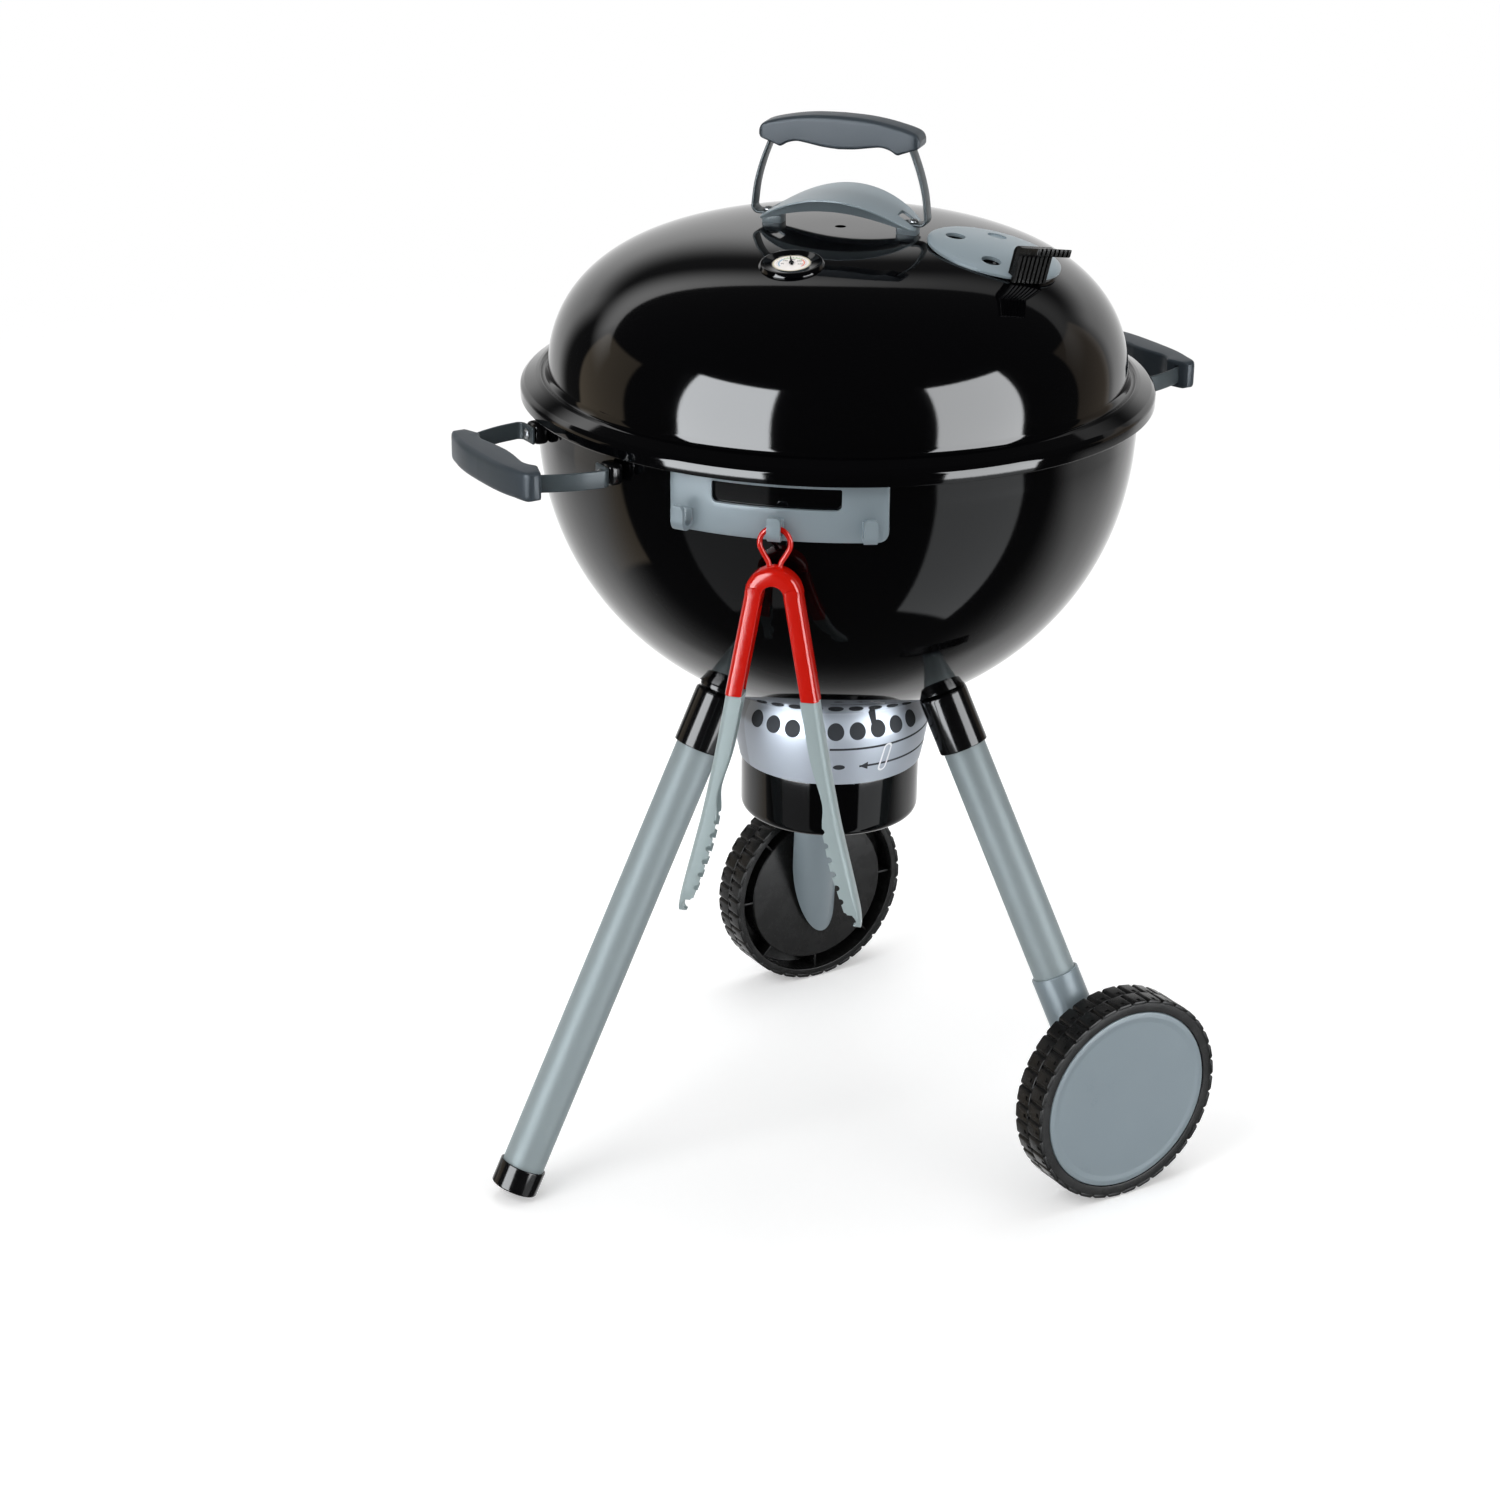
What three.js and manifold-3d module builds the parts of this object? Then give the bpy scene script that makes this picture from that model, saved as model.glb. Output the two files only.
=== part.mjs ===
// A child's play kettle grill on a three-legged wheeled stand, in millimetres, +Z up.
// The origin is on the kettle's axis at floor level; the wheel axle runs along X and the
// single foot stands towards -Y.
import * as THREE from 'three';
import { mergeVertices } from 'three/addons/utils/BufferGeometryUtils.js';
import Module from 'manifold-3d';

const wasm = await Module();
wasm.setup();

// Clearances and facets
const seatGap = 0.3;
const overrun = 3;
const kettleSides = 32;
const broadSides = 24;
const roundSides = 16;
const barSides = 4;
const smallSides = 10;
const curveSteps = 7;
const bendSteps = 3;

// Lid: a superelliptic dome on a rolled flange
const lid = {
  inset: 6.9,
  rise: 92.8,
  footRise: 18,
  wall: 2.4,
  coveHeight: 2.6,
  topHoleRadius: 3.5,
};
const lidCurveShares = { across: 3.214, up: 2.224 };
const flange = {
  width: 17.3,
  drop: 12.5,
  lipHeight: 6.9,
  thickness: 2.2,
  roll: 2.8,
  shoulderWidth: 7.2,
  shoulderRise: 4,
  ridgeWidth: 2.6,
  ridgeRise: 0.6,
  grooveWidth: 2.8,
  grooveDepth: 1.6,
};

// Bowl: a superelliptic cup with a beaded rim
const bowl = {
  radius: 189.6,
  depth: 203.5,
  baseHeight: 316.24,
  wall: 2.5,
  baseRadius: 60,
  beadWidth: 3,
  beadHeight: 8,
};
const bowlCurveShares = { across: 1.74, down: 2.281 };

// Wire grates that lie on tabs inside the bowl
const grateWire = { ringRadius: 2.5, barRadius: 1.8, weld: 0.6, wallClearance: 3 };
const grateTab = { width: 12, reach: 7, thickness: 3, count: 4, turnDegrees: 45 };
const charcoalGrateRise = 67.8;
const cookingGrateDrop = 19.2;
const grateBars = { charcoal: 9, cooking: 13, crossShare: 0.45 };

// Play embers on the charcoal grate
const embers = { radius: 96, edge: 3, crown: 9 };
const coal = { length: 25, width: 21, height: 13, lift: 3.5, ringRadius: 51, middleRadius: 42, count: 7 };
const coalTurnDegrees = 24;

// Ash ring and ash pot under the bowl
const ashRing = {
  topInset: 2,
  shoulderInset: 1.3,
  shoulderRise: 9.6,
  bulge: 4.3,
  bulgeRise: 29,
  bottomInset: 0.4,
  height: 48.94,
  wall: 2,
};
const ashPot = { inset: 1.6, height: 38.2, wall: 2, corner: 6, neckHeight: 5 };

// Legs: tubes in sockets under the bowl, spread evenly round the kettle
const leg = { tiltDegrees: 26, topDrop: 3.19, tubeRadius: 14, tubeWall: 1.6 };
const footLeg = { topReach: 24.3, azimuthDegrees: -90 };
const wheelLeg = { topReach: 20.2, azimuthDegrees: 30 };
const legStub = { radius: 9.5, rise: 16 };
const socket = { length: 38.5, radius: 16, chamfer: 2.5, roof: 14 };
const footCap = { radius: 15.5, length: 17, floor: 4, centreHeight: 5.4 };

// Wheels on stub axles that stand out of sleeves on the two rear legs
const wheel = {
  radius: 70.5,
  width: 26.6,
  inset: 1.83,
  setBack: 4.08,
  shell: 6.5,
  lugDepth: 1.9,
  discRadius: 54.8,
  discInset: 3.2,
  plate: 2,
  drum: 2,
  web: 4,
  bossRadius: 9,
  bossInset: 4.5,
  ribThickness: 1.6,
  lugCount: 36,
  ribCount: 8,
};
const lugShares = [0, 0.5, 0.75];
const hubCap = { radius: 61.7, thickness: 3.7, bevel: 0.9, crown: 0.4 };
const axle = { radius: 5, seatDepth: 5, washerRadius: 9, washerThickness: 1.6, tip: 1.4 };
const sleeve = { radius: 15.8, aboveHub: 82.45, hold: 20, wheelClearance: 1.2, tailLength: 150 };

// Handles: a flat strap with turned-in feet through a moulded grip
const handle = {
  footStart: 40,
  span: 56,
  bend: 4,
  lean: 11.5,
  strapThickness: 2,
  strapWidth: 11,
  footLift: 4.8,
  strapSink: 8,
  gripHalfLength: 51.5,
  gripDepth: 20.4,
  gripWidth: 18,
  gripChamfer: 2.6,
  screwPlace: 47,
};
const legBowShares = [[0.33, 0.16], [0.66, 0.5], [1, 1]];
const gripOutlineShares = [
  [0, 1], [0.5, 0.93], [0.89, 0.71], [0.985, 0.52], [1, 0.2], [0.92, 0.16],
  [0.73, -0.03], [0.64, 0.06], [0.53, 0.16], [0.39, 0.11], [0.2, 0.03], [0, 0],
];
const lidHandle = { azimuthDegrees: 40, reach: 49.6 };
const sideHandle = { drop: 6.2, reach: 44.9 };
const sideLug = { width: 15, height: 14, corner: 3, sink: 8 };
const screw = { headRadius: 3.4, headHeight: 1.6, shankRadius: 1.6, holeClearance: 0.3, bite: 7 };

// Heat shield arched under the lid handle
const shield = {
  halfLength: 50,
  arch: 18,
  hemRise: 11,
  hemStart: 2.6,
  middleHalfWidth: 27,
  endHalfWidth: 8.5,
  wall: 1.8,
  padLength: 13,
  padHalfWidth: 7,
};
const shieldWidthCurveShare = 0.6;

// Thermometer on the lid
const thermometer = {
  azimuthDegrees: -52,
  axisRadius: 88.5,
  tiltDegrees: 9,
  lift: 1.9,
  radius: 21,
  height: 1.6,
  skirt: 12,
  rimWidth: 2.4,
  dialRadius: 12.9,
  dialThickness: 0.8,
  recess: 0.7,
  bevel: 1,
  stemRadius: 3.5,
  stemLength: 16,
};
const pointer = { length: 9, tail: 3, width: 1.4, thickness: 0.5, hubRadius: 1.6, tipShare: 0.2 };

// Damper on the lid: a disc on a moulded seat, with a ribbed thumb tab
const damper = {
  azimuthDegrees: 38,
  handleGap: 1,
  seatRadius: 41.4,
  seatRise: 1,
  crown: 2.2,
  radius: 42,
  thickness: 2.2,
  bevel: 0.8,
  holeRadius: 6.2,
  holeCircle: 26,
  ventRadius: 5.8,
  blindDepth: 0.8,
  stemRadius: 4,
  stemLength: 12,
  clipRadius: 8,
  clipThickness: 1.6,
};
const openHoleDegrees = [182, -78];
const blindHoleDegrees = 105;
const tab = {
  turnDegrees: -36,
  back: 33,
  wall: 5.5,
  leverLength: 15,
  leverRise: 4,
  leverThickness: 5,
  height: 20,
  width: 24,
  corner: 5,
  grooveWidth: 1.3,
  groovePitch: 3,
  grooveDepth: 1.3,
  grooveCount: 7,
};

// Tool rack on the bowl's front, with three hooks
const rack = {
  azimuthDegrees: -43.3,
  lipGap: 1.1,
  height: 35.6,
  halfWidth: 65.3,
  plate: 2.5,
  corner: 5,
  slotHalfWidth: 38.9,
  slotMargin: 2.6,
  slotHeight: 13.2,
  slotCorner: 4,
  pegPlace: 54,
  pegDrop: 11.6,
  pegRadius: 1.7,
  pegReach: 1.5,
};
const hook = {
  standOut: 1.1,
  rise: 10,
  innerRadius: 4,
  strap: 3,
  width: 8,
  frontRise: 6.5,
  backRise: 4,
  turnDegrees: 16.5,
  tongsTurnDegrees: 0.4,
};

// Tongs that hang on the middle hook
const tongs = {
  wire: 3.2,
  eyeRadius: 7.6,
  eyeDrop: 5.45,
  eyeTip: 11,
  neckHalfWidth: 4.4,
  crownDrop: 31.5,
  crownRadius: 17.3,
  limb: 10.6,
  pivotOut: 12,
  depth: 15,
  armLength: 64,
  armSpread: 11.2,
  channelWall: 1.6,
  channelStart: 9,
  tenonLength: 14,
  bladeLength: 147,
  bladeReach: 56.5,
  toothDepth: 2,
  toothCount: 7,
};
const bladeOutsideShares = [
  [0, 0.495], [0.25, 0.605], [0.5, 0.73], [0.65, 0.82], [0.8, 0.915], [0.92, 0.985], [0.985, 1], [1, 0.98],
];
const bladeInsideShares = [
  [0.998, 0.93], [0.95, 0.855], [0.55, 0.575], [0.46, 0.575], [0.25, 0.43], [0, 0.31],
];
const toothSpanShares = { start: 0.56, end: 0.94, startOut: 0.585, endOut: 0.84 };

const degrees = THREE.MathUtils.degToRad;

// Places that follow from the sizes above

const lidRadius = bowl.radius - lid.inset;
const flangeRadius = lidRadius + flange.width;
const bowlBaseTurn = Math.acos(Math.pow(bowl.baseRadius / bowl.radius, bowlCurveShares.across / 2));
const bowlRise = bowl.depth * Math.pow(Math.sin(bowlBaseTurn), 2 / bowlCurveShares.down);
const bowlWidest = bowl.baseHeight + bowlRise;
const lidFoot = bowlWidest + lid.footRise;
const damperReach = handle.span + handle.strapThickness / 2 + damper.handleGap + damper.radius;

// Geometry helpers

/** A ring or solid of revolution about Z through [radius, height] pairs. */
function turned(profile, sides = roundSides) {
  const geometry = new THREE.LatheGeometry(profile.map(([r, z]) => new THREE.Vector2(r, z)), sides);
  return geometry.rotateX(Math.PI / 2);
}

/** A straight round bar along Z between two heights. */
function bar(radius, from, to, sides = smallSides) {
  return turned([[0, from], [radius, from], [radius, to], [0, to]], sides);
}

/** A flat ring round Z between two radii and two heights. */
function washer(inner, outer, from, to) {
  return turned([[inner, from], [outer, from], [outer, to], [inner, to], [inner, from]]);
}

/** A prism on an XY outline, centred on Z = 0. */
function prism(outline, depth, holes = []) {
  const shape = new THREE.Shape(outline.map(([x, y]) => new THREE.Vector2(x, y)));
  for (const hole of holes) {
    shape.holes.push(new THREE.Path(hole.map(([x, y]) => new THREE.Vector2(x, y))));
  }
  const geometry = new THREE.ExtrudeGeometry(shape, { depth, bevelEnabled: false });
  return geometry.translate(0, 0, -depth / 2);
}

/** Points of a circular arc in a plane, both ends included. */
function arc(cx, cy, radius, fromDegrees, toDegrees, steps = bendSteps) {
  return Array.from({ length: steps + 1 }, (_, i) => {
    const a = degrees(fromDegrees + ((toDegrees - fromDegrees) * i) / steps);
    return [cx + radius * Math.cos(a), cy + radius * Math.sin(a)];
  });
}

/** A rectangle with rounded corners, from its left, right, bottom and top. */
function roundedBox(left, right, bottom, top, corner) {
  return [
    ...arc(right - corner, bottom + corner, corner, -90, 0, 2),
    ...arc(right - corner, top - corner, corner, 0, 90, 2),
    ...arc(left + corner, top - corner, corner, 90, 180, 2),
    ...arc(left + corner, bottom + corner, corner, 180, 270, 2),
  ];
}

/** The outline of a band of even thickness along a path of points. */
function band(path, thickness) {
  const sideOf = (i) => {
    const [before, after] = [path[Math.max(i - 1, 0)], path[Math.min(i + 1, path.length - 1)]];
    const here = path[i];
    const first = new THREE.Vector2(here[0] - before[0], here[1] - before[1]).normalize();
    const second = new THREE.Vector2(after[0] - here[0], after[1] - here[1]).normalize();
    const along = first.clone().add(second).normalize();
    const straight = first.lengthSq() > 0 ? first : second;
    const stretch = thickness / 2 / Math.max(along.dot(straight), 0.5);
    return [-along.y * stretch, along.x * stretch];
  };
  const sides = path.map((_, i) => sideOf(i));
  const left = path.map(([x, y], i) => [x + sides[i][0], y + sides[i][1]]);
  const right = path.map(([x, y], i) => [x - sides[i][0], y - sides[i][1]]);
  return [...left, ...right.reverse()];
}

/** A copy of a half outline with its mirror image joined on across X = 0. */
function mirrored(half) {
  const other = half.filter(([x]) => x > 0).map(([x, y]) => [-x, y]);
  return [...half, ...other.reverse()];
}

/** A closed solid from a geometry, with its faces turned outwards. */
function solid(geometry) {
  const bare = new THREE.BufferGeometry();
  bare.setAttribute('position', geometry.getAttribute('position').clone());
  if (geometry.index) {
    bare.setIndex(geometry.index.clone());
  }
  const merged = mergeVertices(bare);
  const points = merged.getAttribute('position').array;
  const index = merged.index.array;
  const corner = (i) => new THREE.Vector3(points[3 * i], points[3 * i + 1], points[3 * i + 2]);
  const kept = [];
  let volume = 0;
  for (let i = 0; i < index.length; i += 3) {
    const [a, b, c] = [index[i], index[i + 1], index[i + 2]];
    if (a !== b && b !== c && c !== a) {
      kept.push(a, b, c);
      volume += corner(a).dot(corner(b).cross(corner(c)));
    }
  }
  if (volume < 0) {
    kept.reverse();
  }
  const vertProperties = new Float32Array(points);
  return new wasm.Manifold(new wasm.Mesh({ numProp: 3, vertProperties, triVerts: new Uint32Array(kept) }));
}

/** The solid moved by a matrix. */
function moved(body, matrix) {
  return body.transform(matrix.elements);
}

/** A mesh of a solid. */
function piece(name, body, material) {
  const mesh = body.getMesh();
  const geometry = new THREE.BufferGeometry();
  geometry.setAttribute('position', new THREE.BufferAttribute(new Float32Array(mesh.vertProperties), 3));
  geometry.setIndex(Array.from(mesh.triVerts));
  geometry.computeVertexNormals();
  const result = new THREE.Mesh(geometry, material);
  result.name = name;
  return result;
}

/** A frame with its origin, its X axis and its Z axis given. */
function frameOf(origin, xAxis, zAxis) {
  const z = zAxis.clone().normalize();
  const y = z.clone().cross(xAxis).normalize();
  const x = y.clone().cross(z);
  return new THREE.Matrix4().makeBasis(x, y, z).setPosition(origin);
}

/** A group that carries its pieces in a frame. */
function groupIn(frame, pieces) {
  const group = new THREE.Group();
  frame.decompose(group.position, group.quaternion, group.scale);
  group.add(...pieces);
  return group;
}

/** The horizontal direction at an azimuth from +X. */
function outward(azimuthDegrees) {
  const a = degrees(azimuthDegrees);
  return new THREE.Vector3(Math.cos(a), Math.sin(a), 0);
}

const up = new THREE.Vector3(0, 0, 1);

/** The horizontal direction square to an azimuth, anticlockwise from above. */
function across(azimuthDegrees) {
  return up.clone().cross(outward(azimuthDegrees));
}

// Materials

function plastic(color, roughness) {
  return new THREE.MeshStandardMaterial({ color, roughness, metalness: 0 });
}

function metal(color, roughness) {
  return new THREE.MeshStandardMaterial({ color, roughness, metalness: 0.8 });
}

const glossBlack = () => plastic(0x0c0c0f, 0.12);
const satinBlack = () => plastic(0x1b1b1d, 0.5);
const matteBlack = () => plastic(0x242425, 0.7);
const legGrey = () => plastic(0x8e9ba0, 0.35);
const lightGrey = () => plastic(0x98a5aa, 0.45);
const gripGrey = () => plastic(0x565c62, 0.5);
const strapGrey = () => plastic(0x5a6064, 0.4);
const shieldGrey = () => plastic(0x8a979b, 0.4);
const toolRed = () => plastic(0xdc2c1c, 0.35);
const toolGrey = () => plastic(0xb2bdbd, 0.45);
const dialWhite = () => plastic(0xf2eee6, 0.4);
const emberRed = () => plastic(0xd2401c, 0.4);
const coalBlack = () => plastic(0x1a1716, 0.9);
const brightRing = () => metal(0xc9cdd4, 0.25);
const steel = () => metal(0xb5b8ba, 0.3);
const grateGrey = () => metal(0x8f9496, 0.4);
const darkGrateGrey = () => metal(0x4a4d50, 0.5);

// Kettle curves

/** The dome's outline from its foot to the axis, grown outwards by an amount. */
function domeCurve(grow) {
  return Array.from({ length: curveSteps }, (_, i) => {
    const turn = (((i + 1) / curveSteps) * Math.PI) / 2;
    const r = (lidRadius + grow) * Math.pow(Math.max(Math.cos(turn), 0), 2 / lidCurveShares.across);
    const z = lidFoot + (lid.rise + grow) * Math.pow(Math.sin(turn), 2 / lidCurveShares.up);
    return [i === curveSteps - 1 ? 0 : r, z];
  });
}

/** The height of the dome's outside at a radius. */
function domeHeight(r) {
  const share = 1 - Math.pow(Math.min(r / lidRadius, 1), lidCurveShares.across);
  return lidFoot + lid.rise * Math.pow(share, 1 / lidCurveShares.up);
}

/** The dome filled down to its foot and grown by an amount. */
function domeFill(grow) {
  return solid(turned([[0, lidFoot], [lidRadius + grow, lidFoot], ...domeCurve(grow)], kettleSides));
}

/** The radius of the bowl's outside at a height. */
function bowlRadiusAt(height) {
  const share = Math.max((bowlWidest - height) / bowl.depth, 0);
  return bowl.radius * Math.pow(1 - Math.pow(share, bowlCurveShares.down), 1 / bowlCurveShares.across);
}

/** The height of the bowl's outside at a radius. */
function bowlHeightAt(radius) {
  const share = 1 - Math.pow(radius / bowl.radius, bowlCurveShares.across);
  return bowlWidest - bowl.depth * Math.pow(share, 1 / bowlCurveShares.down);
}

/** The bowl's outline from its flat base up to its widest height, grown outwards by an amount. */
function bowlCurve(grow) {
  const [radius, depth] = [bowl.radius + grow, bowl.depth + grow];
  const end = Math.acos(Math.pow(bowl.baseRadius / radius, bowlCurveShares.across / 2));
  return Array.from({ length: curveSteps + 1 }, (_, i) => {
    const turn = end * (1 - i / curveSteps);
    const r = radius * Math.pow(Math.cos(turn), 2 / bowlCurveShares.across);
    const z = bowlWidest - depth * Math.pow(Math.sin(turn), 2 / bowlCurveShares.down);
    return [r, z];
  });
}

const lipBottom = lidFoot - flange.drop;
const ridgeTop = lipBottom + flange.lipHeight + flange.roll + flange.shoulderRise + flange.ridgeRise;
const lidSeatHeight = ridgeTop - flange.grooveDepth - flange.thickness;
const rimTop = lidSeatHeight - seatGap;
const lidTop = lidFoot + lid.rise;

/** The bowl as a filled body up to a height, grown by an amount. */
function bowlFill(grow, top) {
  const curve = bowlCurve(grow);
  const [radius] = curve[curve.length - 1];
  return solid(turned([[0, curve[0][1]], ...curve, [radius, top], [0, top]], kettleSides));
}

// Damper frame and seat, shared by the lid and the damper

const damperSlope = Math.atan2(
  domeHeight(damperReach - damper.seatRadius / 2) - domeHeight(damperReach + damper.seatRadius / 2),
  damper.seatRadius,
);
const damperNormal = outward(damper.azimuthDegrees)
  .multiplyScalar(Math.sin(damperSlope))
  .addScaledVector(up, Math.cos(damperSlope));
const damperPlace = outward(damper.azimuthDegrees)
  .multiplyScalar(damperReach)
  .addScaledVector(up, domeHeight(damperReach));
const damperFrame = frameOf(damperPlace, outward(damper.azimuthDegrees), damperNormal);

/** The crowned surface of the damper's seat as [radius, height] pairs, lifted by an amount. */
function seatCurve(radius, lift) {
  return Array.from({ length: bendSteps + 1 }, (_, i) => {
    const r = (radius * i) / bendSteps;
    return [r, damper.seatRise + lift - damper.crown * Math.pow(r / damper.seatRadius, 2)];
  });
}

/** A place on the damper's hole circle. */
function onHoleCircle(angleDegrees) {
  const a = degrees(angleDegrees);
  return [damper.holeCircle * Math.cos(a), damper.holeCircle * Math.sin(a)];
}

// Thermometer frame, shared by the lid and the thermometer

const thermometerNormal = outward(thermometer.azimuthDegrees)
  .multiplyScalar(Math.sin(degrees(thermometer.tiltDegrees)))
  .addScaledVector(up, Math.cos(degrees(thermometer.tiltDegrees)));
const thermometerFrame = frameOf(
  outward(thermometer.azimuthDegrees)
    .multiplyScalar(thermometer.axisRadius)
    .addScaledVector(up, domeHeight(thermometer.axisRadius) + thermometer.lift),
  outward(thermometer.azimuthDegrees),
  thermometerNormal,
);

// Handle frames: X along the grip, Y away from the shell, Z across the strap

const lidHandleFrame = frameOf(
  new THREE.Vector3(0, 0, lidTop),
  outward(lidHandle.azimuthDegrees),
  outward(lidHandle.azimuthDegrees).cross(up),
);

/** The frame of a side handle on one side of the bowl along Y. */
function sideHandleFrame(side) {
  return frameOf(
    new THREE.Vector3(0, side * bowl.radius, bowlWidest - sideHandle.drop),
    new THREE.Vector3(-side, 0, 0),
    new THREE.Vector3(0, 0, -1),
  );
}

/** A screw hole along a handle frame's Y axis at a place along X. */
function handleHole(place, radius, from, to) {
  const cutter = turned([[0, from], [radius, from], [radius, to], [0, to]], smallSides);
  return solid(cutter.rotateX(-Math.PI / 2).translate(place, 0, 0));
}

const screwHoleRadius = screw.shankRadius + screw.holeClearance;
const footTop = handle.footLift + handle.strapThickness;

// Lid

function lidShell() {
  const { thickness, roll } = flange;
  const lipTop = lipBottom + flange.lipHeight;
  const shoulderFoot = flangeRadius - roll;
  const shoulderHead = shoulderFoot - flange.shoulderWidth;
  const ridge = shoulderHead - flange.ridgeWidth;
  const groove = ridge - flange.grooveWidth;
  const outside = [
    [flangeRadius - thickness, lipBottom],
    [flangeRadius, lipBottom],
    [flangeRadius, lipTop],
    [shoulderFoot, lipTop + roll],
    [shoulderHead, lipTop + roll + flange.shoulderRise],
    [ridge, ridgeTop],
    [groove, ridgeTop - flange.grooveDepth],
    [lidRadius, lidFoot + lid.coveHeight],
    ...domeCurve(0),
  ];
  const underside = [
    [0, lidSeatHeight],
    [shoulderHead, lidSeatHeight],
    [flangeRadius - thickness, lipTop - roll / 2],
  ];
  const seat = turned([...seatCurve(damper.seatRadius, 0), [damper.seatRadius, -damper.stemLength],
    [0, -damper.stemLength]], roundSides);
  let body = solid(turned([...underside, ...outside], kettleSides))
    .add(moved(solid(seat), damperFrame));
  const inner = lidRadius - lid.wall;
  const cavityFoot = [[0, lidSeatHeight - overrun], [inner, lidSeatHeight - overrun], [inner, lidFoot]];
  const hollow = solid(turned([...cavityFoot, ...domeCurve(-lid.wall)], kettleSides));
  body = body.subtract(hollow);
  body = body.subtract(solid(bar(lid.topHoleRadius, lidFoot, lidTop + overrun)));
  const damperHoles = openHoleDegrees.map((angle) => {
    const [x, y] = onHoleCircle(angle);
    return bar(damper.ventRadius, -damper.stemLength - overrun, overrun).translate(x, y, 0);
  });
  damperHoles.push(bar(damper.stemRadius + seatGap, -damper.stemLength - overrun, overrun, roundSides));
  for (const hole of damperHoles) {
    body = body.subtract(moved(solid(hole), damperFrame));
  }
  const stemHole = bar(thermometer.stemRadius + seatGap, -thermometer.stemLength - overrun, overrun);
  body = body.subtract(moved(solid(stemHole), thermometerFrame));
  for (const side of [-1, 1]) {
    const hole = handleHole(side * handle.screwPlace, screwHoleRadius, -screw.bite, footTop);
    body = body.subtract(moved(hole, lidHandleFrame));
  }
  return piece('lid_shell', body, glossBlack());
}

// Bowl and grates

const charcoalHeight = bowl.baseHeight + charcoalGrateRise;
const cookingHeight = bowlWidest - cookingGrateDrop;

/** The radius of a grate's ring where it lies at a height. */
function grateRadius(height) {
  return bowlRadiusAt(height) - bowl.wall - grateWire.wallClearance - grateWire.ringRadius;
}

/** The tabs that carry a grate at a height, reaching into the bowl's wall. */
function grateTabs(height) {
  const ringRadius = grateRadius(height);
  const top = height - grateWire.ringRadius - seatGap;
  const from = ringRadius - grateTab.reach;
  const length = grateTab.reach + grateWire.ringRadius + grateWire.wallClearance + bowl.wall * 2;
  return Array.from({ length: grateTab.count }, (_, i) => {
    const box = new THREE.BoxGeometry(length, grateTab.width, grateTab.thickness);
    box.translate(from + length / 2, 0, top - grateTab.thickness / 2);
    box.rotateZ(degrees(grateTab.turnDegrees) + (i * 2 * Math.PI) / grateTab.count);
    return solid(box);
  });
}

const legTop = bowlHeightAt(bowl.baseRadius + footLeg.topReach) - leg.topDrop;

/** A leg's frame: Z runs down the leg from the top of its socket. */
function legFrame(azimuthDegrees, topReach) {
  const tilt = degrees(leg.tiltDegrees);
  const down = outward(azimuthDegrees).multiplyScalar(Math.sin(tilt)).addScaledVector(up, -Math.cos(tilt));
  const top = outward(azimuthDegrees)
    .multiplyScalar(bowl.baseRadius + topReach)
    .addScaledVector(up, legTop);
  return frameOf(top, across(azimuthDegrees), down);
}

const legPlaces = [
  { name: 'foot', frame: legFrame(footLeg.azimuthDegrees, footLeg.topReach) },
  { name: 'right', frame: legFrame(wheelLeg.azimuthDegrees, wheelLeg.topReach), side: 1 },
  { name: 'left', frame: legFrame(180 - wheelLeg.azimuthDegrees, wheelLeg.topReach), side: -1 },
];

function bowlShell() {
  const bead = arc(0, 0, 1, -90, 90, 4).map(([x, y]) => [
    bowl.radius + bowl.beadWidth * x,
    rimTop + (bowl.beadHeight / 2) * (y - 1),
  ]);
  let body = solid(turned([[0, bowl.baseHeight], ...bowlCurve(0), ...bead, [0, rimTop]], kettleSides));
  for (const { frame } of legPlaces) {
    const stub = bar(legStub.radius, -legStub.rise, socket.roof - seatGap, roundSides);
    body = body.add(moved(solid(stub), frame));
  }
  body = body.subtract(bowlFill(-bowl.wall, rimTop + overrun));
  const reach = bowlFill(-bowl.wall / 2, rimTop);
  for (const tabBox of [...grateTabs(charcoalHeight), ...grateTabs(cookingHeight)]) {
    body = body.add(tabBox.intersect(reach));
  }
  for (const side of [-1, 1]) {
    for (const end of [-1, 1]) {
      const hole = handleHole(end * handle.screwPlace, screwHoleRadius, -sideHandle.reach, footTop);
      body = body.subtract(moved(hole, sideHandleFrame(side)));
    }
  }
  for (const turn of rackPegTurns()) {
    body = body.subtract(rackPeg(turn, rack.pegRadius + seatGap, -overrun - bowl.wall, overrun));
  }
  return piece('bowl', body, glossBlack());
}

/** A wire grate: a ring, parallel bars on it and two cross bars under them. */
function wireGrate(name, height, barCount, material) {
  const { ringRadius: wire, barRadius, weld } = grateWire;
  const radius = grateRadius(height);
  const section = arc(radius, height, wire, 30, 390, 6);
  let body = solid(turned(section, broadSides));
  const barHeight = height + wire + barRadius - weld;
  for (let i = 1; i <= barCount; i += 1) {
    const offset = radius * ((2 * i) / (barCount + 1) - 1);
    const half = Math.sqrt(radius * radius - offset * offset);
    const rod = bar(barRadius, -half, half, barSides).rotateX(Math.PI / 2).translate(offset, 0, barHeight);
    body = body.add(solid(rod));
  }
  for (const side of [-1, 1]) {
    const offset = side * grateBars.crossShare * radius;
    const half = Math.sqrt(radius * radius - offset * offset);
    const rod = bar(barRadius, -half, half, barSides).rotateY(Math.PI / 2);
    body = body.add(solid(rod.translate(0, offset, barHeight - 2 * barRadius + weld)));
  }
  return piece(name, body, material);
}

const emberFloor = charcoalHeight + grateWire.ringRadius + 2 * grateWire.barRadius - grateWire.weld + seatGap;

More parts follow.
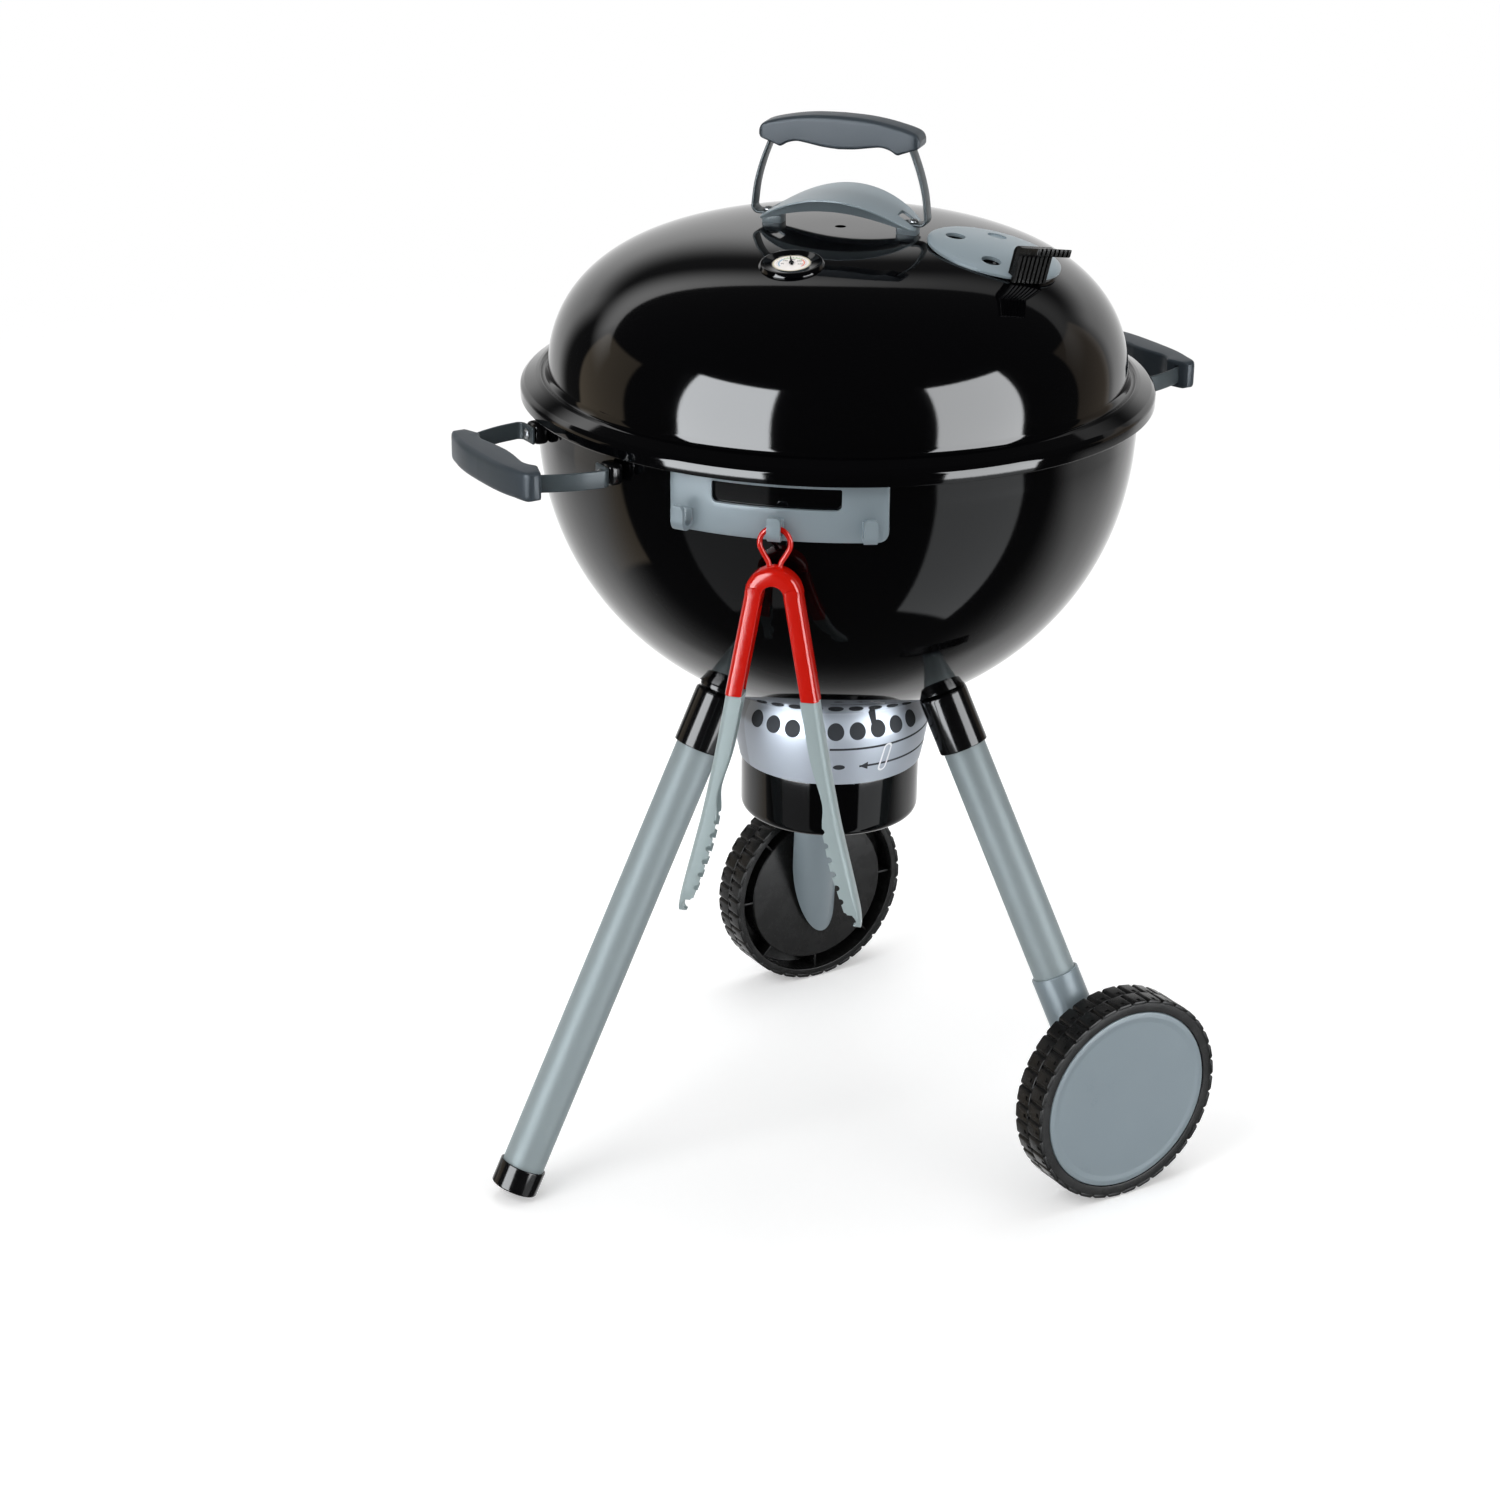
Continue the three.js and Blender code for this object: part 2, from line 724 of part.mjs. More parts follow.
/** The ember bed's profile, lifted by an amount. */
function emberProfile(lift) {
  const crown = Array.from({ length: bendSteps + 1 }, (_, i) => {
    const share = 1 - i / bendSteps;
    const rise = embers.edge + (embers.crown - embers.edge) * (1 - share * share);
    return [embers.radius * share, emberFloor + lift + rise];
  });
  return [[0, emberFloor], [embers.radius, emberFloor], ...crown];
}

function emberBed() {
  return piece('ember_bed', solid(turned(emberProfile(0), broadSides)), emberRed());
}

function coalHeap() {
  const floor = emberFloor + embers.edge;
  const lump = (x, y, spin, wide, long) => {
    const ball = new THREE.SphereGeometry(1, 8, 4).scale(long, wide, coal.height);
    return solid(ball.rotateZ(spin).translate(x, y, floor + coal.lift));
  };
  let body = lump(0, 0, 0, coal.middleRadius, coal.middleRadius);
  for (let i = 0; i < coal.count; i += 1) {
    const a = (i * 2 * Math.PI) / coal.count;
    const spin = a + Math.PI / 2 + degrees(coalTurnDegrees) * (i % 2 ? 1 : -1);
    const [x, y] = [coal.ringRadius * Math.cos(a), coal.ringRadius * Math.sin(a)];
    body = body.add(lump(x, y, spin, coal.width, coal.length));
  }
  const profile = emberProfile(seatGap);
  const below = [[0, floor - coal.height * 2], [embers.radius + coal.length, floor - coal.height * 2],
    [embers.radius + coal.length, profile[2][1]], ...profile.slice(3)];
  return piece('coal_heap', body.subtract(solid(turned(below, broadSides))), coalBlack());
}

// Ash ring and ash pot

const ashRingTop = bowl.baseHeight - seatGap;
const ashRingBottom = ashRingTop - ashRing.height;
const ashRingFoot = bowl.baseRadius - ashRing.bottomInset;

/** The ash ring's outline from its bottom to its top, moved inwards by an amount. */
function ashRingOutline(inset) {
  const { topInset, shoulderInset, shoulderRise, bulge, bulgeRise } = ashRing;
  const widest = bowl.baseRadius + bulge - inset;
  const curve = new THREE.SplineCurve([
    new THREE.Vector2(ashRingFoot - inset, ashRingBottom),
    new THREE.Vector2(widest - shoulderInset, ashRingBottom + bulgeRise / 2),
    new THREE.Vector2(widest, ashRingBottom + bulgeRise),
    new THREE.Vector2(widest - shoulderInset, ashRingBottom + bulgeRise + shoulderRise),
    new THREE.Vector2(bowl.baseRadius - topInset - inset, ashRingTop),
  ]);
  return curve.getPoints(bendSteps + 1).map((p) => [p.x, p.y]);
}

function ashRingPiece() {
  const outside = ashRingOutline(0);
  const inside = ashRingOutline(ashRing.wall).reverse();
  return piece('ash_ring', solid(turned([...outside, ...inside, outside[0]], broadSides)), brightRing());
}

function ashPotPiece() {
  const { inset, height, wall, corner } = ashPot;
  const top = ashRingBottom - seatGap;
  const low = top - height;
  const radius = bowl.baseRadius - inset;
  const neck = ashRingFoot - ashRing.wall - seatGap * 2;
  const outside = [
    [0, low],
    ...arc(radius - corner, low + corner, corner, -90, 0, 2),
    [radius, top],
    [neck, top],
    [neck, top + ashPot.neckHeight],
    [neck - wall, top + ashPot.neckHeight],
    [neck - wall, low + corner],
    [neck - corner, low + wall],
    [0, low + wall],
  ];
  return piece('ash_pot', solid(turned(outside, broadSides)), glossBlack());
}

// Legs

/** The length of a leg from its top down to a height. */
function legLengthTo(height) {
  return (legTop - height) / Math.cos(degrees(leg.tiltDegrees));
}

const footLegLength = legLengthTo(footCap.centreHeight);
const sleeveStart = legLengthTo(wheel.radius) - sleeve.aboveHub;
const wheelLegReach = bowl.baseRadius + wheelLeg.topReach
  + (legTop - wheel.radius) * Math.tan(degrees(leg.tiltDegrees));
const wheelPlane = wheelLegReach * Math.cos(degrees(wheelLeg.azimuthDegrees)) - wheel.inset;
const axleBehind = wheelLegReach * Math.sin(degrees(wheelLeg.azimuthDegrees)) + wheel.setBack;
const tubeStart = socket.roof + seatGap;
const boreRadius = leg.tubeRadius + seatGap;

function socketPiece(name) {
  const { radius, length, chamfer, roof } = socket;
  const hole = legStub.radius + seatGap;
  const profile = [[hole, 0], [radius - chamfer, 0], [radius, chamfer], [radius, length],
    [boreRadius, length], [boreRadius, roof], [hole, roof], [hole, 0]];
  return piece(`leg_socket_${name}`, solid(turned(profile)), satinBlack());
}

function tubePiece(name, end) {
  const [outer, inner] = [leg.tubeRadius, leg.tubeRadius - leg.tubeWall];
  const profile = [[inner, tubeStart], [outer, tubeStart], [outer, end], [inner, end], [inner, tubeStart]];
  return piece(`leg_tube_${name}`, solid(turned(profile)), legGrey());
}

function footCapPiece() {
  const end = footLegLength;
  const { radius, length, floor } = footCap;
  const profile = [[0, end], [radius, end], [radius, end - length], [boreRadius, end - length],
    [boreRadius, end - floor], [0, end - floor]];
  const ground = new THREE.BoxGeometry(end, end, end).translate(0, 0, -end / 2);
  const { frame } = legPlaces[0];
  const floorInLeg = moved(solid(ground.translate(0, -end / 2, 0)), frame.clone().invert());
  return piece('foot_cap', solid(turned(profile)).subtract(floorInLeg), satinBlack());
}

const sleeveHoldEnd = sleeveStart + sleeve.hold;

/** The sleeve on a wheel leg, cut flat beside the wheel, with a seat for the stub axle. */
function sleevePiece(name, frame, side) {
  const toLeg = frame.clone().invert();
  const end = sleeveStart + sleeve.tailLength;
  const bore = bar(boreRadius, sleeveStart - overrun, sleeveHoldEnd + seatGap, roundSides);
  let body = solid(bar(sleeve.radius, sleeveStart, end, roundSides)).subtract(solid(bore));
  const plane = wheelPlane - sleeve.wheelClearance;
  const beyond = new THREE.BoxGeometry(end, 2 * end, 2 * end).translate(side * (plane + end / 2), 0, 0);
  body = body.subtract(moved(solid(beyond), toLeg));
  const seat = bar(axle.radius + seatGap, -axle.seatDepth - seatGap, overrun, roundSides);
  const place = new THREE.Vector3(side * plane, axleBehind, wheel.radius);
  const seatFrame = frameOf(place, up, new THREE.Vector3(side, 0, 0));
  body = body.subtract(moved(moved(solid(seat), seatFrame), toLeg));
  return piece(`wheel_sleeve_${name}`, body, lightGrey());
}

function legGroups() {
  return legPlaces.map(({ name, frame, side }) => {
    const pieces = [socketPiece(name)];
    if (side) {
      pieces.push(tubePiece(name, sleeveHoldEnd), sleevePiece(name, frame, side));
    } else {
      pieces.push(tubePiece(name, footLegLength - footCap.floor - seatGap), footCapPiece());
    }
    return groupIn(frame, pieces);
  });
}

// Wheels, in a frame whose Z axis points outwards from the inner face

const webBack = wheel.width - wheel.web - wheel.plate * 2;
const capStep = wheel.width - wheel.web;
const shellInner = wheel.radius - wheel.shell;

/** One row of tread lugs as a toothed ring, turned by a share of the lug pitch. */
function lugRow(from, depth, turnShare) {
  const pitch = (2 * Math.PI) / wheel.lugCount;
  const outline = [];
  for (let i = 0; i < wheel.lugCount; i += 1) {
    lugShares.forEach((share, k) => {
      const a = (i + share + turnShare) * pitch;
      const r = k < 2 ? wheel.radius : wheel.radius - wheel.lugDepth;
      outline.push([r * Math.cos(a), r * Math.sin(a)]);
    });
  }
  return solid(prism(outline, depth).translate(0, 0, from + depth / 2));
}

function wheelBody(name) {
  const { width, discRadius, discInset, plate, drum, bossRadius, bossInset } = wheel;
  const bore = axle.radius + seatGap;
  const capWell = hubCap.radius + seatGap;
  const middle = width / 2;
  const back = [[0, -overrun], [shellInner, -overrun], [shellInner, webBack], [discRadius, webBack],
    [discRadius, discInset], [0, discInset]];
  const front = [[0, capStep - bossInset], [bossRadius, capStep - bossInset], [bossRadius, discInset + plate],
    [discRadius - drum, discInset + plate], [discRadius - drum, capStep], [capWell, capStep],
    [capWell, width + overrun], [0, width + overrun]];
  let body = lugRow(0, middle, 0).add(lugRow(width - middle, middle, 0.5))
    .subtract(solid(turned(back, broadSides)))
    .subtract(solid(turned(front, broadSides)))
    .subtract(solid(bar(bore, -overrun, width + overrun, roundSides)));
  const ribLength = shellInner - discRadius + 2 * wheel.ribThickness;
  for (let i = 0; i < wheel.ribCount; i += 1) {
    const rib = new THREE.BoxGeometry(ribLength, wheel.ribThickness, webBack - discInset + wheel.plate / 2);
    rib.translate((shellInner + discRadius) / 2, 0, (webBack + discInset + wheel.plate / 2) / 2);
    body = body.add(solid(rib.rotateZ((i * 2 * Math.PI) / wheel.ribCount)));
  }
  return piece(`wheel_${name}`, body, matteBlack());
}

function hubCapPiece(name) {
  const { radius, thickness, bevel, crown } = hubCap;
  const foot = capStep + seatGap;
  const face = wheel.width - seatGap;
  const profile = [[0, foot], [radius, foot], [radius, face - bevel], [radius - bevel, face],
    [radius - thickness, face], [radius - thickness - bevel, face - crown], [0, face - crown]];
  return piece(`hub_cap_${name}`, solid(turned(profile, broadSides)), lightGrey());
}

const axleTip = capStep - wheel.bossInset + seatGap * 2 + axle.washerThickness + axle.tip;

function axlePiece(name) {
  const from = -sleeve.wheelClearance - axle.seatDepth;
  return piece(`axle_${name}`, solid(bar(axle.radius, from, axleTip, roundSides)), steel());
}

function washerPiece(name) {
  const from = capStep - wheel.bossInset + seatGap;
  const to = from + axle.washerThickness;
  const ring = washer(axle.radius + seatGap, axle.washerRadius, from, to);
  return piece(`axle_washer_${name}`, solid(ring), steel());
}

function wheelGroups() {
  return [['right', 1], ['left', -1]].map(([name, side]) => {
    const place = new THREE.Vector3(side * wheelPlane, axleBehind, wheel.radius);
    const frame = frameOf(place, up.clone().negate(), new THREE.Vector3(side, 0, 0));
    return groupIn(frame, [wheelBody(name), hubCapPiece(name), axlePiece(name), washerPiece(name)]);
  });
}

// Handles

/** Half of the strap's middle line, from a turned-in foot to the middle of the grip. */
function strapPath(reach, grow) {
  const { footStart, span, bend, lean, footLift, strapThickness, strapSink } = handle;
  const middle = footLift + strapThickness / 2;
  const legFoot = middle + bend;
  const top = reach + strapSink;
  const straight = top - bend - legFoot;
  const bow = legBowShares.map(([rise, inShare]) => [span - lean * inShare, legFoot + straight * rise]);
  const foot = [[footStart - grow, middle], ...arc(span - bend, legFoot, bend, -90, 0, 3)];
  return [...foot, ...bow, [span - lean - bend, top]];
}

/** The strap as a solid, thickened by a clearance all round. */
function strapBody(reach, grow) {
  const half = strapPath(reach, grow);
  const path = [...half, ...half.map(([x, y]) => [-x, y]).reverse()];
  const outline = band(path, handle.strapThickness + 2 * grow);
  return solid(prism(outline, handle.strapWidth + 2 * grow));
}

function strapPiece(name, reach) {
  let body = strapBody(reach, 0);
  for (const end of [-1, 1]) {
    body = body.subtract(handleHole(end * handle.screwPlace, screwHoleRadius, 0, footTop + overrun));
  }
  return piece(name, body, strapGrey());
}

function gripPiece(name, reach) {
  const { gripHalfLength, gripDepth, gripWidth, gripChamfer } = handle;
  const half = gripOutlineShares.map(([x, y]) => [
    x * (gripHalfLength - gripChamfer),
    reach + gripChamfer + y * (gripDepth - 2 * gripChamfer),
  ]);
  const shape = new THREE.Shape(mirrored(half).map(([x, y]) => new THREE.Vector2(x, y)));
  const geometry = new THREE.ExtrudeGeometry(shape, {
    depth: gripWidth - 2 * gripChamfer,
    bevelThickness: gripChamfer,
    bevelSize: gripChamfer,
    bevelSegments: 1,
  });
  geometry.translate(0, 0, gripChamfer - gripWidth / 2);
  return piece(name, solid(geometry).subtract(strapBody(reach, seatGap)), gripGrey());
}

/** A round-headed screw along a handle frame's Y axis, its head on the strap's foot. */
function screwPiece(name, place) {
  const head = footTop + seatGap;
  const profile = [[0, -screw.bite], [screw.shankRadius, -screw.bite], [screw.shankRadius, head],
    [screw.headRadius, head], [screw.headRadius / 2, head + screw.headHeight], [0, head + screw.headHeight]];
  const geometry = turned(profile, smallSides).rotateX(-Math.PI / 2).translate(place, 0, 0);
  return piece(name, solid(geometry), steel());
}

/** The block that carries a strap's foot on the bowl. */
function lugPiece(name, end, frame) {
  const { width, height, corner, sink } = sideLug;
  const top = handle.footLift - seatGap;
  const outline = roundedBox(-width / 2, width / 2, -height / 2, height / 2, corner);
  const block = prism(outline, top + sink).translate(0, 0, (top - sink) / 2);
  block.rotateX(-Math.PI / 2).translate(end * handle.screwPlace, 0, 0);
  const wall = moved(bowlFill(seatGap, lipBottom), frame.clone().invert());
  const hole = handleHole(end * handle.screwPlace, screwHoleRadius, -sideHandle.reach, footTop);
  return piece(name, solid(block).subtract(wall).subtract(hole), satinBlack());
}

function sideHandleGroups() {
  return [['rear', 1], ['front', -1]].map(([name, side]) => {
    const frame = sideHandleFrame(side);
    const pieces = [
      strapPiece(`side_strap_${name}`, sideHandle.reach),
      gripPiece(`side_grip_${name}`, sideHandle.reach),
    ];
    for (const [mark, end] of [['a', -1], ['b', 1]]) {
      pieces.push(lugPiece(`side_lug_${name}_${mark}`, end, frame));
      pieces.push(screwPiece(`side_screw_${name}_${mark}`, end * handle.screwPlace));
    }
    return groupIn(frame, pieces);
  });
}

/** The arched shield: a leaf-shaped hood with a hem, standing on two end pads. */
function shieldPiece() {
  const { halfLength, arch, hemRise, hemStart, wall, middleHalfWidth, endHalfWidth } = shield;
  const { padLength, padHalfWidth } = shield;
  const endTop = handle.footLift - seatGap;
  const swell = (x) => 1 - Math.pow(x / halfLength, 2);
  const widening = (x) => Math.pow(Math.max(swell(x), 0), shieldWidthCurveShare);
  const steps = Array.from({ length: curveSteps * 2 - 1 }, (_, i) => halfLength * (i / (curveSteps - 1) - 1));
  const side = (lowest, drop) => [
    ...steps.map((x) => [x, lowest(x)]),
    ...steps.map((x) => [x, endTop + arch * swell(x) - drop]).reverse(),
  ];
  const leaf = (inset) => {
    const half = steps.map((x) => [x, endHalfWidth + (middleHalfWidth - endHalfWidth) * widening(x) - inset]);
    return [...half, ...half.map(([x, y]) => [x, -y]).reverse()];
  };
  const tall = 2 * (arch + handle.footLift + overrun);
  const block = solid(prism(side((x) => hemStart + hemRise * swell(x), 0), 2 * middleHalfWidth + overrun));
  const hollow = solid(prism(side(() => -overrun, wall), 2 * middleHalfWidth + overrun));
  const leafBody = (inset) => solid(prism(leaf(inset), tall).rotateX(-Math.PI / 2));
  let body = block.intersect(leafBody(0)).subtract(hollow.intersect(leafBody(wall)));
  for (const end of [-1, 1]) {
    const pad = new THREE.BoxGeometry(padLength, endTop + overrun, 2 * padHalfWidth);
    pad.translate(end * (halfLength - padLength / 2), (endTop - overrun) / 2, 0);
    body = body.add(solid(pad));
    body = body.subtract(handleHole(end * handle.screwPlace, screwHoleRadius, -screw.bite, footTop));
    body = body.subtract(handleHole(end * handle.screwPlace, screw.headRadius + seatGap, endTop, arch));
  }
  const dome = moved(domeFill(seatGap), lidHandleFrame.clone().invert());
  const under = new THREE.BoxGeometry(2 * handle.span, arch, handle.span);
  under.translate(0, endTop + arch / 2, 0);
  const strapRoom = solid(under).intersect(strapBody(lidHandle.reach, seatGap));
  return piece('heat_shield', body.subtract(dome).subtract(strapRoom), shieldGrey());
}

function lidHandleGroup() {
  return groupIn(lidHandleFrame, [
    strapPiece('lid_strap', lidHandle.reach),
    gripPiece('lid_grip', lidHandle.reach),
    shieldPiece(),
    screwPiece('lid_screw_a', -handle.screwPlace),
    screwPiece('lid_screw_b', handle.screwPlace),
  ]);
}

// Thermometer

function thermometerGroup() {
  const { radius, height, skirt, rimWidth, dialRadius, dialThickness, recess, bevel } = thermometer;
  const well = dialRadius + seatGap;
  const profile = [[0, -skirt], [radius, -skirt], [radius, height - bevel], [radius - bevel, height],
    [radius - bevel - rimWidth, height], [well, recess], [well, -dialThickness], [0, -dialThickness]];
  const dome = moved(domeFill(seatGap), thermometerFrame.clone().invert());
  const stem = bar(thermometer.stemRadius, -thermometer.stemLength, -dialThickness - bevel);
  const bezel = solid(turned(profile)).subtract(dome).add(solid(stem));
  const dialTop = seatGap;
  const dial = bar(dialRadius, seatGap - dialThickness, dialTop, roundSides);
  const low = dialTop + seatGap;
  const tip = pointer.width * pointer.tipShare;
  const needleOutline = [[-pointer.tail, -pointer.width], [-pointer.tail, pointer.width],
    [pointer.length, tip], [pointer.length, -tip]];
  const needle = prism(needleOutline, pointer.thickness).translate(0, 0, low + pointer.thickness / 2);
  const boss = bar(pointer.hubRadius, low, low + 2 * pointer.thickness);
  return groupIn(thermometerFrame, [
    piece('thermometer_bezel', bezel, satinBlack()),
    piece('thermometer_dial', solid(dial), dialWhite()),
    piece('thermometer_pointer', solid(needle).add(solid(boss)), matteBlack()),
  ]);
}

// Damper

/** The damper disc's profile, with a clearance grown over its top and edge. */
function discProfile(grow) {
  const { radius, thickness, bevel } = damper;
  const under = seatCurve(radius, seatGap - grow);
  const top = seatCurve(radius - bevel, seatGap + thickness + grow).reverse();
  const edgeTop = top[0][1] - bevel;
  const edge = [[radius + grow, under[under.length - 1][1]], [radius + grow, edgeTop]];
  return [...under.slice(0, -1), ...edge, ...top];
}

function damperDisc() {
  const { holeRadius, stemRadius, stemLength, thickness, seatRise } = damper;
  let body = solid(turned(discProfile(0), broadSides));
  body = body.add(solid(bar(stemRadius, -stemLength, seatRise + seatGap + thickness / 2, roundSides)));
  for (const angle of openHoleDegrees) {
    const [x, y] = onHoleCircle(angle);
    const hole = bar(holeRadius, -stemLength, stemLength, roundSides);
    body = body.subtract(solid(hole.translate(x, y, 0)));
  }
  const [x, y] = onHoleCircle(blindHoleDegrees);
  const surface = seatRise + seatGap + thickness
    - damper.crown * Math.pow(damper.holeCircle / damper.seatRadius, 2);
  const recess = bar(holeRadius, surface - damper.blindDepth, stemLength, roundSides);
  body = body.subtract(solid(recess.translate(x, y, 0)));
  return piece('damper_disc', body, lightGrey());
}

function damperClip() {
  const bore = damper.stemRadius + seatGap;
  const slope = (damper.crown + lid.wall) + damper.clipThickness;
  const [from, to] = [-slope - damper.clipThickness, -slope];
  return piece('damper_clip', solid(washer(bore, damper.clipRadius, from, to)), steel());
}

/** The thumb tab: a wall on the disc's edge with a rising lever, grooved on its outer side. */
function damperTab() {
  const { back, wall, leverLength, leverRise, leverThickness, height, corner, width } = tab;
  const front = back + wall;
  const tip = front + leverLength;
  const outline = [
    [back, 0], [front, 0], [front, height - leverThickness], [tip, height + leverRise - leverThickness],
    [tip, height + leverRise], [front, height], ...arc(back + corner, height - corner, corner, 90, 180, 3),
  ];
  let body = solid(prism(outline, width));
  const rise = leverRise / leverLength;
  const roof = height - leverThickness + tab.grooveDepth;
  const reachOut = tip + overrun;
  const cutter = [
    [front - tab.grooveDepth, -overrun], [reachOut, -overrun], [reachOut, height + leverRise + overrun],
    [tip - tab.grooveDepth, height + leverRise + overrun],
    [tip - tab.grooveDepth, roof + rise * (leverLength - tab.grooveDepth)], [front - tab.grooveDepth, roof],
  ];
  for (let i = 0; i < tab.grooveCount; i += 1) {
    const offset = (i - (tab.grooveCount - 1) / 2) * tab.groovePitch;
    body = body.subtract(solid(prism(cutter, tab.grooveWidth).translate(0, 0, offset)));
  }
  const stand = new THREE.Matrix4().makeRotationZ(degrees(tab.turnDegrees))
    .multiply(new THREE.Matrix4().makeRotationX(Math.PI / 2));
  body = moved(body, stand).subtract(solid(turned(discProfile(seatGap), broadSides)));
  return piece('damper_tab', body, matteBlack());
}

// Tool rack

const rackTop = lipBottom - rack.lipGap;
const rackBottom = rackTop - rack.height;
const pegHeight = rackTop - rack.pegDrop;
const hookReach = bowl.radius + seatGap + rack.plate + hook.innerRadius + hook.standOut;

/** The frame of a hook: X along the bowl, Y up, Z outwards, at the middle of its trough. */
function hookFrame(turnDegrees) {
  const azimuth = rack.azimuthDegrees + turnDegrees;
  const place = outward(azimuth).multiplyScalar(hookReach).addScaledVector(up, rackBottom + hook.rise);
  return frameOf(place, across(azimuth), outward(azimuth));
}

function hookBody(turnDegrees) {
  const { innerRadius, strap, frontRise, backRise, width } = hook;
  const outer = innerRadius + strap;
  const profile = [
    [-outer, backRise], ...arc(0, 0, outer, 180, 360, 6), [outer, frontRise],
    ...arc(innerRadius + strap / 2, frontRise, strap / 2, 0, 180, 3), ...arc(0, 0, innerRadius, 360, 180, 6),
    [-innerRadius, backRise],
  ];
  const stand = prism(profile, width).rotateY(-Math.PI / 2);
  return moved(solid(stand), hookFrame(turnDegrees));
}

function rackPegTurns() {
  const turn = THREE.MathUtils.radToDeg(Math.asin(rack.pegPlace / bowl.radius));
  return [-turn, turn];
}

/** A peg or its hole through the bowl's wall, between two distances from the outer face. */
function rackPeg(turnDegrees, radius, from, to) {
  const azimuth = rack.azimuthDegrees + turnDegrees;
  const place = outward(azimuth)
    .multiplyScalar(bowlRadiusAt(pegHeight))
    .addScaledVector(up, pegHeight);
  return moved(solid(bar(radius, from, to)), frameOf(place, across(azimuth), outward(azimuth)));
}

function rackPiece() {
  const { height, halfWidth, plate, corner, slotHalfWidth, slotHeight, slotCorner } = rack;
  const heights = Array.from({ length: bendSteps }, (_, i) => rackBottom + (height * i) / (bendSteps - 1));
  const inner = heights.map((z) => [bowlRadiusAt(z) + seatGap, z]);
  const outer = inner.map(([r, z]) => [r + plate, z]).reverse();
  const ring = solid(turned([...inner, ...outer, inner[0]], kettleSides));
  const outline = roundedBox(-halfWidth, halfWidth, rackBottom, rackTop, corner);
  const slotTop = rackTop - rack.slotMargin;
  const slot = roundedBox(-slotHalfWidth, slotHalfWidth, slotTop - slotHeight, slotTop, slotCorner);
  const face = prism(outline, bowl.radius, [slot]).translate(0, 0, bowl.radius);
  const azimuth = rack.azimuthDegrees;
  const stand = frameOf(new THREE.Vector3(), across(azimuth), outward(azimuth));
  let body = ring.intersect(moved(solid(face), stand));
  for (const turn of [-hook.turnDegrees, hook.tongsTurnDegrees, hook.turnDegrees]) {
    body = body.add(hookBody(turn));
  }
  for (const turn of rackPegTurns()) {
    body = body.add(rackPeg(turn, rack.pegRadius, -bowl.wall - rack.pegReach, rack.plate / 2));
  }
  return piece('tool_rack', body, lightGrey());
}

// Tongs, in the frame of the middle hook: X along the bowl, Y up, Z outwards

const eyeCentre = -hook.innerRadius - tongs.eyeDrop;
const pivotHeight = eyeCentre - tongs.crownDrop;

/** A teardrop round the eye's centre, closing to a tip below it. */
function teardrop(radius, tip) {
  return [...arc(0, eyeCentre, radius, -30, 210, 12), [0, eyeCentre - tip]];
}

function tongsCrown() {
  const { wire, eyeRadius, eyeTip, crownRadius, limb, pivotOut, depth, neckHalfWidth } = tongs;
  const thick = wire * Math.SQRT2;
  const eye = prism(teardrop(eyeRadius + wire, eyeTip + thick), wire, [teardrop(eyeRadius, eyeTip)]);
  const inner = crownRadius - limb;
  const bow = [...arc(0, pivotHeight, crownRadius, 0, 180, 12), ...arc(0, pivotHeight, inner, 180, 0, 8)];
  const neckTop = eyeCentre - eyeTip;
  const neckFoot = pivotHeight + crownRadius - limb / 2;
  const neck = [[-neckHalfWidth, neckFoot], [neckHalfWidth, neckFoot], [wire, neckTop], [-wire, neckTop]];
  let body = solid(prism(bow, depth)).add(solid(prism(neck, wire))).add(solid(eye));
  for (const side of [-1, 1]) {
    const knuckle = prism(arc(side * pivotOut, pivotHeight, limb / 2 + seatGap, 0, 342, 19), depth + overrun);
    body = body.subtract(solid(knuckle));
  }
  return piece('tongs_crown', body, toolRed());
}

/** One red arm: a round knuckle and a channel open towards the other arm. */
function tongsArm(name, side) {
  const { limb, pivotOut, armLength, armSpread, depth, channelWall, channelStart } = tongs;
  const foot = pivotHeight - armLength;
  const [near, far] = [pivotOut - limb / 2, pivotOut + limb / 2];
  const outline = [
    ...arc(pivotOut, pivotHeight, limb / 2, 0, 180, 9), [near + armSpread, foot], [far + armSpread, foot],
  ];
  const lean = armSpread / armLength;
  const channelTop = pivotHeight - channelStart;
  const wallAt = (y) => far - channelWall + lean * (pivotHeight - y);
  const channel = [[wallAt(channelTop), channelTop], [wallAt(foot - overrun), foot - overrun],
    [near - limb, foot - overrun], [near - limb, channelTop]];
  const inside = solid(prism(channel, depth - 2 * channelWall));
  const body = solid(prism(outline, depth)).subtract(inside);
  return piece(name, side > 0 ? body : body.mirror([1, 0, 0]), toolRed());
}

